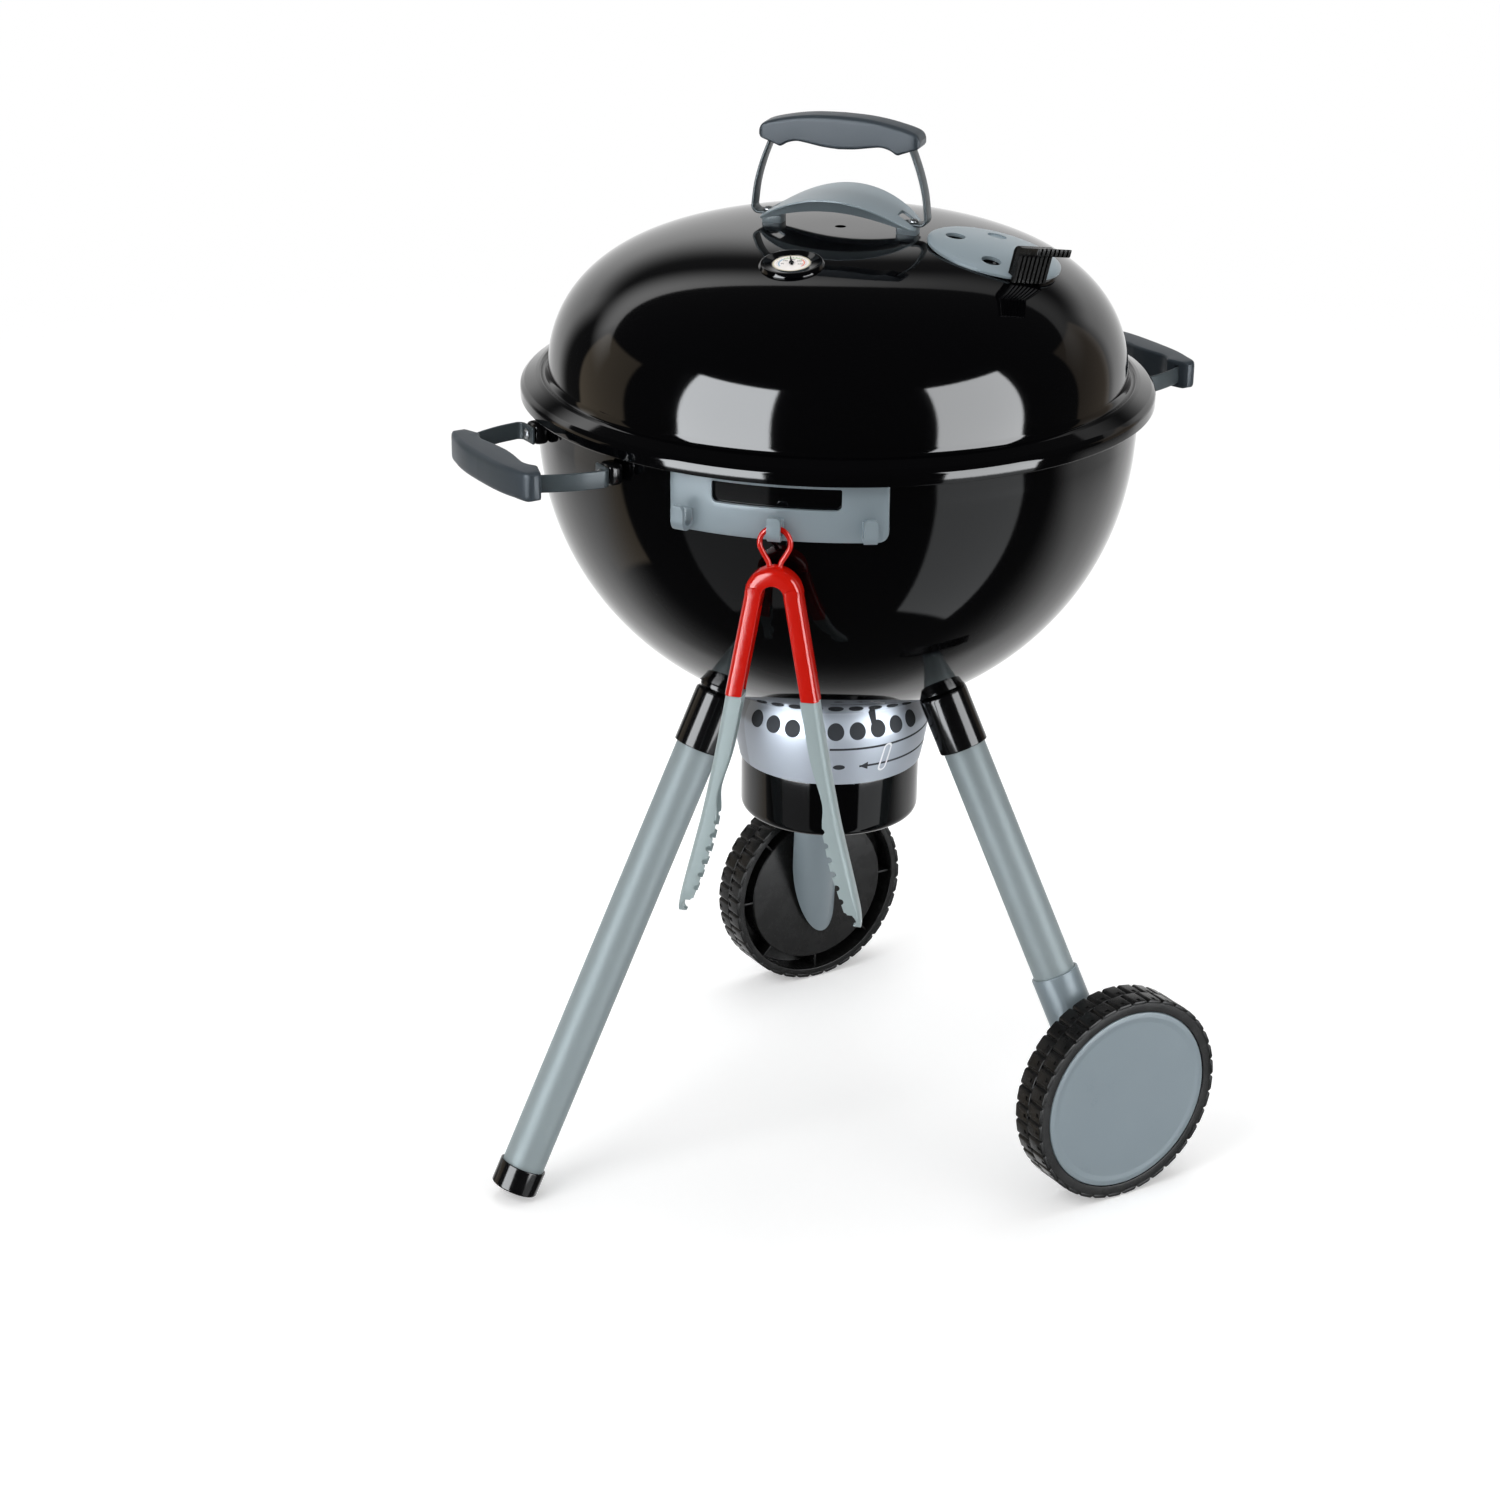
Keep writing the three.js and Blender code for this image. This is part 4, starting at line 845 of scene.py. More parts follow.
@dataclass
class Paintbox:
    """The shared node groups, each built once."""

    moulded: NodeTree = field(default_factory=moulded_surface)
    marks: NodeTree = field(default_factory=handling_marks)


@dataclass(frozen=True)
class Skin:
    """A moulded, painted or metal finish.

    The colour is linear, and the lengths of the blotches and the grain are in millimetres.
    """

    colour: tuple[float, float, float]
    roughness: float
    metallic: float = 0.0
    specular: float = 0.5
    shade_change: float = 0.12
    polish_change: float = 0.1
    blotch: float = 60.0
    grain: float = 0.6
    bump: float = 0.04
    marks: float = 0.1

    def material(self, name: str, paintbox: Paintbox) -> Material:
        """The finish as a material."""
        return self.parts(name, paintbox)[0]

    def parts(self, name: str, paintbox: Paintbox) -> tuple[Material, Nodes, dict[str, Node]]:
        """Build the material and keep its nodes, so that a print can be laid over it.

        Args:
            name: Name of the material.
            paintbox: The shared node groups.

        Returns:
            The material, a helper for its nodes, and the nodes by name.
        """
        material = bpy.data.materials.new(name)
        material.use_nodes = True
        nodes = Nodes(material.node_tree)
        shader = material.node_tree.nodes["Principled BSDF"]
        shader.inputs["Metallic"].default_value = self.metallic
        shader.inputs["Specular IOR Level"].default_value = self.specular
        place = nodes.add("TexCoord").outputs["Object"]
        skin = nodes.add("Group", node_tree=paintbox.moulded)
        values = {"Vector": place, "Colour": (*self.colour, 1.0), "Shade Change": self.shade_change,
                  "Roughness": self.roughness, "Polish Change": self.polish_change,
                  "Blotch Scale": 1 / (self.blotch * MM), "Grain Scale": 1 / (self.grain * MM)}
        for label, value in values.items():
            nodes.put(skin.inputs[label], value)
        worn = nodes.add("Group", node_tree=paintbox.marks)
        nodes.put(worn.inputs["Vector"], place)
        nodes.put(worn.inputs["Scale"], 60.0)
        rough = Field(nodes, worn.outputs["Mask"]) * self.marks + skin.outputs["Roughness"]
        relief = {"Height": skin.outputs["Height"], "Strength": self.bump, "Distance": 0.3 * MM}
        bump = nodes.add("Bump", relief)
        nodes.put(shader.inputs["Base Color"], skin.outputs["Colour"])
        nodes.put(shader.inputs["Roughness"], rough)
        nodes.put(shader.inputs["Normal"], bump.outputs[0])
        return material, nodes, {"shader": shader, "skin": skin, "place": place}


@dataclass(frozen=True)
class RingPrint:
    """The printed label round the ash ring: dots, two lines, an arrow, a lens, a peg and a hanging link.

    Heights and lengths are in millimetres and azimuths in degrees.
    """

    base: Skin
    radius: float = 64.0
    dot_height: float = 304.7
    dot_radius: float = 5.5
    dot_step: float = 12.93
    first_dot: float = -81.3
    dot_count: int = 9
    label_start: float = -93.0
    line_height: float = 293.0
    arrow_height: float = 280.0
    arrow_tip: float = -15.0
    line_start: float = -33.0
    line_end: float = 52.0
    half_line: float = 0.75
    lens_azimuth: float = -27.3
    peg_azimuth: float = -6.0
    peg_foot: float = 300.0
    link_azimuth: float = 1.6
    link_height: float = 284.0
    ink: tuple[float, ...] = (0.022, 0.024, 0.028, 1)
    pale: tuple[float, ...] = (0.85, 0.86, 0.87, 1)
    bare: tuple[float, ...] = (0.16, 0.16, 0.17, 1)
    bare_share: float = 0.35
    ink_roughness: float = 0.2

    def material(self, name: str, paintbox: Paintbox) -> Material:
        """The silver finish with the print on it.

        Args:
            name: The material's name.
            paintbox: The groups that finishes share.

        Returns:
            The material.
        """
        material, nodes, made = self.base.parts(name, paintbox)
        x, y, z = nodes.axes(made["place"])
        azimuth = y.do("ARCTAN2", x) * (180 / math.pi)
        height = z * (1 / MM)
        dots, lines = self.dots(azimuth, height), self.lines(azimuth, height)
        dark = dots.either(lines).either(self.peg(azimuth, height))
        link = self.link(azimuth, height)
        skin, inputs = made["skin"].outputs, made["shader"].inputs
        inked = nodes.mix(dark, skin["Colour"], self.ink)
        lit = nodes.mix(link, inked, self.pale)
        bare = (azimuth < self.label_start) * self.bare_share
        nodes.put(inputs["Base Color"], nodes.mix(bare, lit, self.bare))
        ink = dark.either(link)
        nodes.put(inputs["Metallic"], ink * -self.base.metallic + self.base.metallic)
        nodes.put(inputs["Roughness"], Field(nodes, skin["Roughness"]) + ink * self.ink_roughness)
        return material

    def along(self, azimuth: Field, at: float) -> Field:
        """The distance round the ring from an azimuth."""
        return (azimuth - at) * (math.radians(1) * self.radius)

    def dots(self, azimuth: Field, height: Field) -> Field:
        """The mask of the row of round dots.

        Args:
            azimuth: The azimuth in degrees.
            height: The height in millimetres.

        Returns:
            The mask, from 0 to 1.
        """
        count = (azimuth - self.first_dot) * (1 / self.dot_step) + 0.5
        inside = (count > 0.0).both(count < float(self.dot_count))
        aside = (count.do("FRACT") - 0.5) * (math.radians(self.dot_step) * self.radius)
        return (aside.length_with(height - self.dot_height) < self.dot_radius).both(inside)

    def lines(self, azimuth: Field, height: Field) -> Field:
        """The mask of the two lines, the arrow's head and the lens.

        Args:
            azimuth: The azimuth in degrees.
            height: The height in millimetres.

        Returns:
            The mask, from 0 to 1.
        """
        first = ((height - self.line_height).size() < self.half_line).both(azimuth > self.line_start)
        off_arrow = height - self.arrow_height
        second = (off_arrow.size() < self.half_line).both(azimuth > self.arrow_tip)
        back = self.along(azimuth, self.arrow_tip)
        head = (off_arrow.size() < back * 0.45).both(back < 6.0)
        lens = (self.along(azimuth, self.lens_azimuth) * 0.45).length_with(off_arrow) < 1.8
        return first.either(second).both(azimuth < self.line_end).either(head).either(lens)

    def peg(self, azimuth: Field, height: Field) -> Field:
        """The mask of the dark peg that hangs over the dots."""
        taper = (height - self.peg_foot) * 0.13 + 0.8
        return (self.along(azimuth, self.peg_azimuth).size() < taper).both(height > self.peg_foot)

    def link(self, azimuth: Field, height: Field) -> Field:
        """The mask of the pale outline of a hanging link.

        Args:
            azimuth: The azimuth in degrees.
            height: The height in millimetres.

        Returns:
            The mask, from 0 to 1.
        """
        above = height - self.link_height
        aside = self.along(azimuth, self.link_azimuth) - above * 0.22
        off = (above.size() - 6.5).do("MAXIMUM", 0.0)
        distance = aside.length_with(off)
        return (distance < 3.2).both(distance > 1.9)


@dataclass(frozen=True)
class DialPrint:
    """The thermometer's face: a white disc, a cream rim, tick marks and coloured ranges, in millimetres."""

    base: Skin
    centre: tuple[float, float]
    up_azimuth: float
    sweep: float = 250.0
    tick_step: float = 12.5
    tick_share: float = 0.07
    ticks: Point = (8.2, 9.3)
    arc: Point = (7.3, 8.1)
    middle_range: float = 45.0
    rim: float = 10.4
    edge: float = 11.3

    def material(self, name: str, paintbox: Paintbox) -> Material:
        """The printed face as a material.

        Args:
            name: The material's name.
            paintbox: The groups that finishes share.

        Returns:
            The material.
        """
        material, nodes, made = self.base.parts(name, paintbox)
        x, y = (axis * (1 / MM) - middle for axis, middle in zip(nodes.axes(made["place"]), self.centre))
        distance = x.length_with(y)
        a = math.radians(self.up_azimuth)
        ahead = x * math.cos(a) + y * math.sin(a)
        aside = y * math.cos(a) - x * math.sin(a)
        turn = aside.do("ARCTAN2", ahead) * (180 / math.pi)
        span = turn.size() < self.sweep / 2
        tick = ((turn * (1 / self.tick_step)).do("FRACT") - 0.5).size() > 0.5 - self.tick_share
        ticks = tick.both(distance > self.ticks[0]).both(distance < self.ticks[1]).both(span)
        ring = (distance > self.arc[0]).both(distance < self.arc[1]).both(span)
        half = self.middle_range
        layers = [
            (distance > self.rim, (0.62, 0.57, 0.42, 1)),
            (ring.both(turn > half), (0.25, 0.42, 0.55, 1)),
            (ring.both(turn.size() < half), (0.35, 0.55, 0.22, 1)),
            (ring.both(turn < -half), (0.7, 0.16, 0.08, 1)),
            (ticks, (0.03, 0.03, 0.03, 1)),
            (distance > self.edge, (0.2, 0.19, 0.17, 1)),
        ]
        colour = made["skin"].outputs["Colour"]
        for mask, ink in layers:
            colour = nodes.mix(mask, colour, ink)
        nodes.put(made["shader"].inputs["Base Color"], colour)
        return material


@dataclass(frozen=True)
class GlowingCoal:
    """Rough black lumps whose cracks glow red."""

    base: Skin
    glow: tuple[float, float, float]
    strength: float
    crack_scale: float

    def material(self, name: str, paintbox: Paintbox) -> Material:
        """The glowing finish as a material.

        Args:
            name: The material's name.
            paintbox: The groups that finishes share.

        Returns:
            The material.
        """
        material, nodes, made = self.base.parts(name, paintbox)
        where = {"Vector": made["place"], "Scale": self.crack_scale}
        cracks = nodes.add("TexVoronoi", where, feature="DISTANCE_TO_EDGE").outputs["Distance"]
        near = nodes.ramp(cracks, (0.0, 0.16), (1.0, 0.0))
        hot = nodes.ramp(nodes.noise(made["place"], 45.0, 3.0), (0.42, 0.62))
        lit = nodes.mix(near * hot, (0, 0, 0, 1), (*self.glow, 1))
        nodes.put(made["shader"].inputs["Emission Color"], lit)
        made["shader"].inputs["Emission Strength"].default_value = self.strength
        return material


THERMOMETER_AZIMUTH = -52.1
THERMOMETER_RADIUS = 87.6
FINISHES: dict[Finish, Skin | RingPrint | DialPrint | GlowingCoal] = {
    Finish.ENAMEL: Skin((0.0010, 0.0010, 0.0013), 0.055, specular=0.25, shade_change=0.3,
                        polish_change=0.03, blotch=90, grain=1.2, bump=0.012, marks=0.05),
    Finish.SATIN: Skin((0.004, 0.004, 0.0045), 0.13, specular=0.22, shade_change=0.2,
                       polish_change=0.06, grain=0.8, bump=0.03),
    Finish.WHEEL: Skin((0.0085, 0.0085, 0.0085), 0.27, specular=0.12, shade_change=0.35,
                       polish_change=0.16, blotch=14, grain=0.5, bump=0.12, marks=0.15),
    Finish.LEG: Skin((0.275, 0.325, 0.34), 0.42, specular=0.2, shade_change=0.08,
                     polish_change=0.08, blotch=35, grain=0.35, bump=0.03),
    Finish.LIGHT: Skin((0.225, 0.275, 0.305), 0.3, specular=0.22, shade_change=0.07,
                       polish_change=0.1, blotch=45, grain=0.5, bump=0.05),
    Finish.GRIP: Skin((0.036, 0.045, 0.054), 0.36, specular=0.13, shade_change=0.1,
                      polish_change=0.1, blotch=25, grain=0.5, bump=0.06),
    Finish.STRAP: Skin((0.046, 0.057, 0.063), 0.36, metallic=0.1, specular=0.2, shade_change=0.12,
                       polish_change=0.1, blotch=16, grain=0.4, bump=0.05, marks=0.2),
    Finish.RED: Skin((0.56, 0.008, 0.003), 0.15, specular=0.24, shade_change=0.08,
                     polish_change=0.06, blotch=30, grain=0.7, bump=0.03),
    Finish.PALE: Skin((0.33, 0.40, 0.41), 0.34, specular=0.15, shade_change=0.07,
                      polish_change=0.08, blotch=30, grain=0.6, bump=0.04),
    Finish.RING: RingPrint(Skin((0.41, 0.45, 0.51), 0.42, metallic=0.3, specular=0.15, shade_change=0.05,
                                polish_change=0.06, blotch=40, grain=0.6, bump=0.01, marks=0.03)),
    Finish.STEEL: Skin((0.25, 0.26, 0.27), 0.34, metallic=0.8, polish_change=0.15, blotch=6,
                       grain=0.3, bump=0.04),
    Finish.GRATE: Skin((0.30, 0.31, 0.32), 0.34, metallic=0.6, polish_change=0.16, blotch=12,
                       grain=0.4, bump=0.05),
    Finish.DARK_GRATE: Skin((0.07, 0.072, 0.075), 0.42, metallic=0.5, polish_change=0.18, blotch=12,
                            grain=0.5, bump=0.1),
    Finish.EMBER: GlowingCoal(
        Skin((0.10, 0.014, 0.006), 0.55, blotch=9, grain=1.5, bump=0.5, shade_change=0.8),
        (1.0, 0.13, 0.02), 1.1, 70.0),
    Finish.COAL: GlowingCoal(
        Skin((0.014, 0.012, 0.012), 0.8, blotch=8, grain=1.6, bump=0.8, shade_change=0.9),
        (1.0, 0.10, 0.015), 0.5, 55.0),
    Finish.DIAL: DialPrint(Skin((0.80, 0.76, 0.74), 0.4, shade_change=0.08, blotch=4, grain=0.3, bump=0.01),
                           tuple(outward(THERMOMETER_AZIMUTH).xy * THERMOMETER_RADIUS), 140.0),
}


@dataclass
class Workshop:
    """Gives each finished piece its material and its body, and hides the CAD nodes that it stands for."""

    paintbox: Paintbox = field(default_factory=Paintbox)
    materials: dict[Finish, Material] = field(default_factory=dict)

    def material(self, finish: Finish) -> Material:
        """The material of a finish, made when it is first asked for.

        Args:
            finish: The finish.

        Returns:
            The material.
        """
        if finish not in self.materials:
            self.materials[finish] = FINISHES[finish].material(finish.value, self.paintbox)
        return self.materials[finish]

    def fit(self, piece: Object, finish: Finish, body: Body, *nodes: str) -> Object:
        """Dress a piece, let it ride on its body, and hide the CAD nodes that it stands for.

        Args:
            piece: The modelled piece.
            finish: Its finish.
            body: The body that it rides on.
            nodes: Names of the CAD nodes that it stands for.

        Returns:
            The piece.
        """
        piece.data.materials.clear()
        piece.data.materials.append(self.material(finish))
        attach(piece, body.value)
        if nodes:
            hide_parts(*nodes)
        log.info("%s: %s on %s, %d faces", piece.name, finish.value, body.value, len(piece.data.polygons))
        return piece

    def dress_node(self, node: str, finish: Finish) -> None:
        """Give a CAD node that stays in view a finish.

        Args:
            node: Name of the CAD node.
            finish: The finish.
        """
        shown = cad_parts[node]
        shown.data.materials.clear()
        shown.data.materials.append(self.material(finish))


# Shapes that several sub-assemblies follow


@dataclass
class KettleCurves:
    """The curves of the lid and the bowl, in millimetres."""

    lid_radius: float = 182.7
    lid_rise: float = 92.8
    lid_foot: float = 525.2
    lid_across: float = 3.214
    lid_up: float = 2.224
    bowl_radius: float = 189.6
    bowl_depth: float = 203.5
    bowl_rim: float = 507.2
    bowl_across: float = 1.74
    bowl_down: float = 2.281
    base_radius: float = 60.0
    wall: float = 2.4

    def dome_height(self, r: float) -> float:
        """The height of the dome's outside at a radius."""
        share = 1 - min(r / self.lid_radius, 1.0) ** self.lid_across
        return self.lid_foot + self.lid_rise * share ** (1 / self.lid_up)

    def dome(self, grow: float, inner: float, steps: int = 40) -> list[Point]:
        """The dome's outline from its foot up to an inner radius, grown by an amount.

        Args:
            grow: The amount.
            inner: The inner radius.
            steps: Number of chords.

        Returns:
            The points.
        """
        points = []
        for i in range(steps + 1):
            turn = math.pi / 2 * i / steps
            r = (self.lid_radius + grow) * max(math.cos(turn), 0) ** (2 / self.lid_across)
            rise = (self.lid_rise + grow) * math.sin(turn) ** (2 / self.lid_up)
            if r > inner + 4:
                points.append((r, self.lid_foot + rise))
        top = self.lid_foot + self.lid_rise + grow
        last_r, last_z = points[-1]
        for share in (0.75, 0.5, 0.25, 0.0):
            r = inner + (last_r - inner) * share
            points.append((r, top - (top - last_z) * (r / last_r) ** self.lid_across))
        return points

    def bowl_radius_at(self, z: float) -> float:
        """The radius of the bowl's outside at a height."""
        share = max((self.bowl_rim - z) / self.bowl_depth, 0.0)
        return self.bowl_radius * (1 - share**self.bowl_down) ** (1 / self.bowl_across)

    def bowl(self, grow: float, steps: int = 40) -> list[Point]:
        """The bowl's outline from its flat base up to its widest height, grown by an amount.

        Args:
            grow: The amount.
            steps: Number of chords.

        Returns:
            The points.
        """
        radius, depth = self.bowl_radius + grow, self.bowl_depth + grow
        end = math.acos((self.base_radius / radius) ** (self.bowl_across / 2))
        turns = [end * (1 - i / steps) for i in range(steps + 1)]
        return [(radius * math.cos(t) ** (2 / self.bowl_across),
                 self.bowl_rim - depth * math.sin(t) ** (2 / self.bowl_down)) for t in turns]


CURVES = KettleCurves()
LID_TOP = CURVES.lid_foot + CURVES.lid_rise


def wall_ring(low: float, high: float, gap: float, thickness: float, steps: int = 192) -> Object:
    """A ring of even thickness that follows the bowl's wall between two heights.

    Args:
        low: Its foot.
        high: Its top.
        gap: Its distance from the wall.
        thickness: Its thickness.
        steps: Steps round it.

    Returns:
        The piece.
    """
    heights = [low + (high - low) * i / 8 for i in range(9)]
    inner = [(CURVES.bowl_radius_at(z) + gap, z) for z in heights]
    outer = [(r + thickness, z) for r, z in reversed(inner)]
    return turned("wall_ring", [*inner, *outer, inner[0]], steps)


# Kettle


@dataclass
class Lid:
    """The domed lid with its rolled flange, in millimetres."""

    flange_radius: float = 200.0
    lip_bottom: float = 512.7
    seat_height: float = 523.2
    hole_radius: float = 3.5

    def shell(self) -> Object:
        """The lid's shell, spun from its section.

        Returns:
            The piece.
        """
        wall = CURVES.wall
        flange = rounded([
            (180.3, self.seat_height, 0), (190.0, self.seat_height, 2.0), (197.4, 518.4, 2.0),
            (197.8, self.lip_bottom, 0.8), (self.flange_radius, self.lip_bottom, 0.8),
            (self.flange_radius, 519.8, 3.4), (197.3, 522.5, 3.0), (190.2, 526.2, 1.4), (187.5, 527.2, 1.6),
            (184.8, 525.2, 1.8), (182.7, 528.8, 0),
        ], closed=False, steps=6)
        outside = [p for p in CURVES.dome(0, self.hole_radius) if p[1] > 530]
        inside = [p for p in reversed(CURVES.dome(-wall, self.hole_radius)) if p[1] > 526]
        return turned("lid_shell", [*flange, *outside, *inside, flange[0]], 160)

    def build(self, shop: Workshop) -> None:
        """Model and dress the lid."""
        shop.fit(self.shell(), Finish.ENAMEL, Body.LID, "lid_shell")


@dataclass
class Bowl:
    """The bowl with its beaded rim and grate tabs, in millimetres."""

    rim_top: float = 522.9
    wall: float = 2.5
    bead: Point = (3.0, 4.0)
    tab_heights: tuple[float, ...] = (384.0, 488.0)

    def shell(self) -> Object:
        """The bowl's shell, spun from its section.

        Returns:
            The piece.
        """
        out, deep = self.bead
        radius, rim = CURVES.bowl_radius, self.rim_top
        bead = [(radius + out * x, rim + deep * (y - 1)) for x, y in arc(0, 0, 1, -80, 90, 12)]
        inner = CURVES.bowl(-self.wall)
        top = [(radius - self.wall, rim)]
        outer = [(0, CURVES.bowl(0)[0][1]), *CURVES.bowl(0)]
        return turned("bowl", [*outer, *bead, *top, *reversed(inner), (0, inner[0][1])], 160)

    def tabs(self) -> Object:
        """The tabs that carry the two grates.

        Returns:
            The piece.
        """
        made = []
        for height in self.tab_heights:
            inner, outer = CURVES.bowl_radius_at(height) - 15.0, CURVES.bowl_radius_at(height - 5.8) - 1.4
            one = block("tab", (inner, -6, height - 5.8), (outer, 6, height - 2.8), 0.6)
            made += [copied(one, "tab", turned_by(45 + 90 * i)) for i in range(4)]
            bpy.data.objects.remove(one)
        return joined("grate_tabs", made)

    def build(self, shop: Workshop) -> None:
        """Model and dress the bowl."""
        shop.fit(self.shell(), Finish.ENAMEL, Body.KETTLE, "bowl")
        shop.fit(self.tabs(), Finish.ENAMEL, Body.KETTLE)


@dataclass
class Grate:
    """A wire grate, in millimetres."""

    name: str
    body: Body
    finish: Finish
    height: float
    ring_radius: float
    bars: int
    wire_radius: float = 2.5
    bar_radius: float = 1.8
    cross_share: float = 0.45
    overlap: float = 0.6

    def build(self, shop: Workshop) -> None:
        """Model and dress the grate.

        Args:
            shop: The workshop that dresses it.
        """
        deselect()
        bpy.ops.mesh.primitive_torus_add(
            major_segments=96, minor_segments=14, major_radius=self.ring_radius * MM,
            minor_radius=self.wire_radius * MM, location=(0, 0, self.height * MM))
        ring = started("ring")
        bpy.ops.object.transform_apply(location=True)
        parts = [smoothed(ring, 60)]
        level = self.height + self.wire_radius + self.bar_radius - self.overlap
        for i in range(1, self.bars + 1):
            x = self.ring_radius * (2 * i / (self.bars + 1) - 1)
            half = math.sqrt(self.ring_radius**2 - x**2)
            parts.append(rod("bar", self.bar_radius, (x, -half, level), (x, half, level), 12))
        for side in (-1, 1):
            y = side * self.cross_share * self.ring_radius
            half = math.sqrt(self.ring_radius**2 - y**2)
            low = level - 2 * self.bar_radius + self.overlap
            parts.append(rod("bar", self.bar_radius, (-half, y, low), (half, y, low), 12))
        shop.fit(joined(self.name, parts), self.finish, self.body, self.name)


@dataclass
class Embers:
    """The play embers and coals on the charcoal grate, in millimetres."""

    floor: float = 389.8
    radius: float = 95.5
    edge: float = 3.0
    swell: float = 5.6
    lump_ring: float = 51.0
    lumps: int = 7

    def bed(self) -> Object:
        """The ember bed, a low rough dome.

        Returns:
            The piece.
        """
        shares = [1 - i / 12 for i in range(13)]
        top = [(self.radius * s, self.floor + self.edge + self.swell * (1 - s * s)) for s in shares]
        side = rounded([(0, self.floor, 0), (self.radius, self.floor, 0.8), (*top[0], 1.2)], closed=False)
        return self.roughened(turned("ember_bed", [*side, *top[1:]], 72), 0.010, 1.0)

    def roughened(self, piece: Object, size: float, strength: float) -> Object:
        """Push a piece's surface in and out with clouded noise of a size in metres.

        Args:
            piece: The piece.
            size: The noise's size.
            strength: How far it pushes, in millimetres.

        Returns:
            The piece.
        """
        texture = bpy.data.textures.new(f"{piece.name}_lumps", "CLOUDS")
        texture.noise_scale = size
        texture.noise_depth = 2
        modified(piece, "DISPLACE", texture=texture, strength=strength * MM, mid_level=0.75)
        bpy.data.textures.remove(texture)
        return smoothed(piece, 50)

    def heap(self) -> Object:
        """The coals, flattened lumps round a middle one.

        Returns:
            The piece.
        """
        level = self.floor + 6.5
        places = [(0.0, 0.0, 0.0, 41.0, 41.0)]
        for i in range(self.lumps):
            a = i * 2 * math.pi / self.lumps
            spin = a + math.pi / 2 + math.radians(24) * (1 if i % 2 else -1)
            places.append((self.lump_ring * math.cos(a), self.lump_ring * math.sin(a), spin, 24.0, 20.0))
        made = []
        for x, y, spin, long, wide in places:
            deselect()
            bpy.ops.mesh.primitive_ico_sphere_add(subdivisions=5, radius=MM)
            lump = started("lump")
            shape = Matrix.Rotation(spin, 4, "Z") @ Matrix.Diagonal((long, wide, 12.4, 1))
            placed(lump, Matrix.Translation(Vector((x, y, level)) * MM) @ shape)
            made.append(trimmed(lump, Vector((0, 0, self.floor + 5.0)), Vector((0, 0, -1))))
        return self.roughened(joined("coal_heap", made), 0.012, 3.0)

    def build(self, shop: Workshop) -> None:
        """Model and dress the embers."""
        shop.fit(self.bed(), Finish.EMBER, Body.CHARCOAL, "ember_bed")
        shop.fit(self.heap(), Finish.COAL, Body.CHARCOAL, "coal_heap")


@dataclass
class AshCatcher:
    """The silver ash ring and the black pot under it, in millimetres."""

    ring_bottom: float = 267.0
    ring_top: float = 315.9
    pot_radius: float = 58.4
    pot_bottom: float = 228.5

    def ring(self) -> Object:
        """The ring, spun from its bulged section.

        Returns:
            The piece.
        """
        outside = eased([(59.6, self.ring_bottom), (61.5, 276), (63.5, 288), (64.3, 297), (64.0, 302),
                         (61.2, 309.5), (58.0, self.ring_top)], 5)
        inside = [(r - 2.0, z) for r, z in reversed(outside)]
        return turned("ash_ring", [*outside, *inside, outside[0]], 144)

    def pot(self) -> Object:
        """The pot with its neck inside the ring.

        Returns:
            The piece.
        """
        r, low, top = self.pot_radius, self.pot_bottom, self.ring_bottom - 0.3
        profile = rounded([
            (0, low, 0), (r, low, 6.5), (r, top, 0.8), (57.0, top, 0.3), (57.0, top + 5, 0.4),
            (55.0, top + 5, 0.4), (55.0, low + 2, 5), (0, low + 2, 0),
        ], closed=False, steps=8)
        return turned("ash_pot", profile, 144)

    def build(self, shop: Workshop) -> None:
        """Model and dress the ring and the pot."""
        shop.fit(self.ring(), Finish.RING, Body.KETTLE, "ash_ring")
        shop.fit(self.pot(), Finish.ENAMEL, Body.KETTLE, "ash_pot")


# Stand


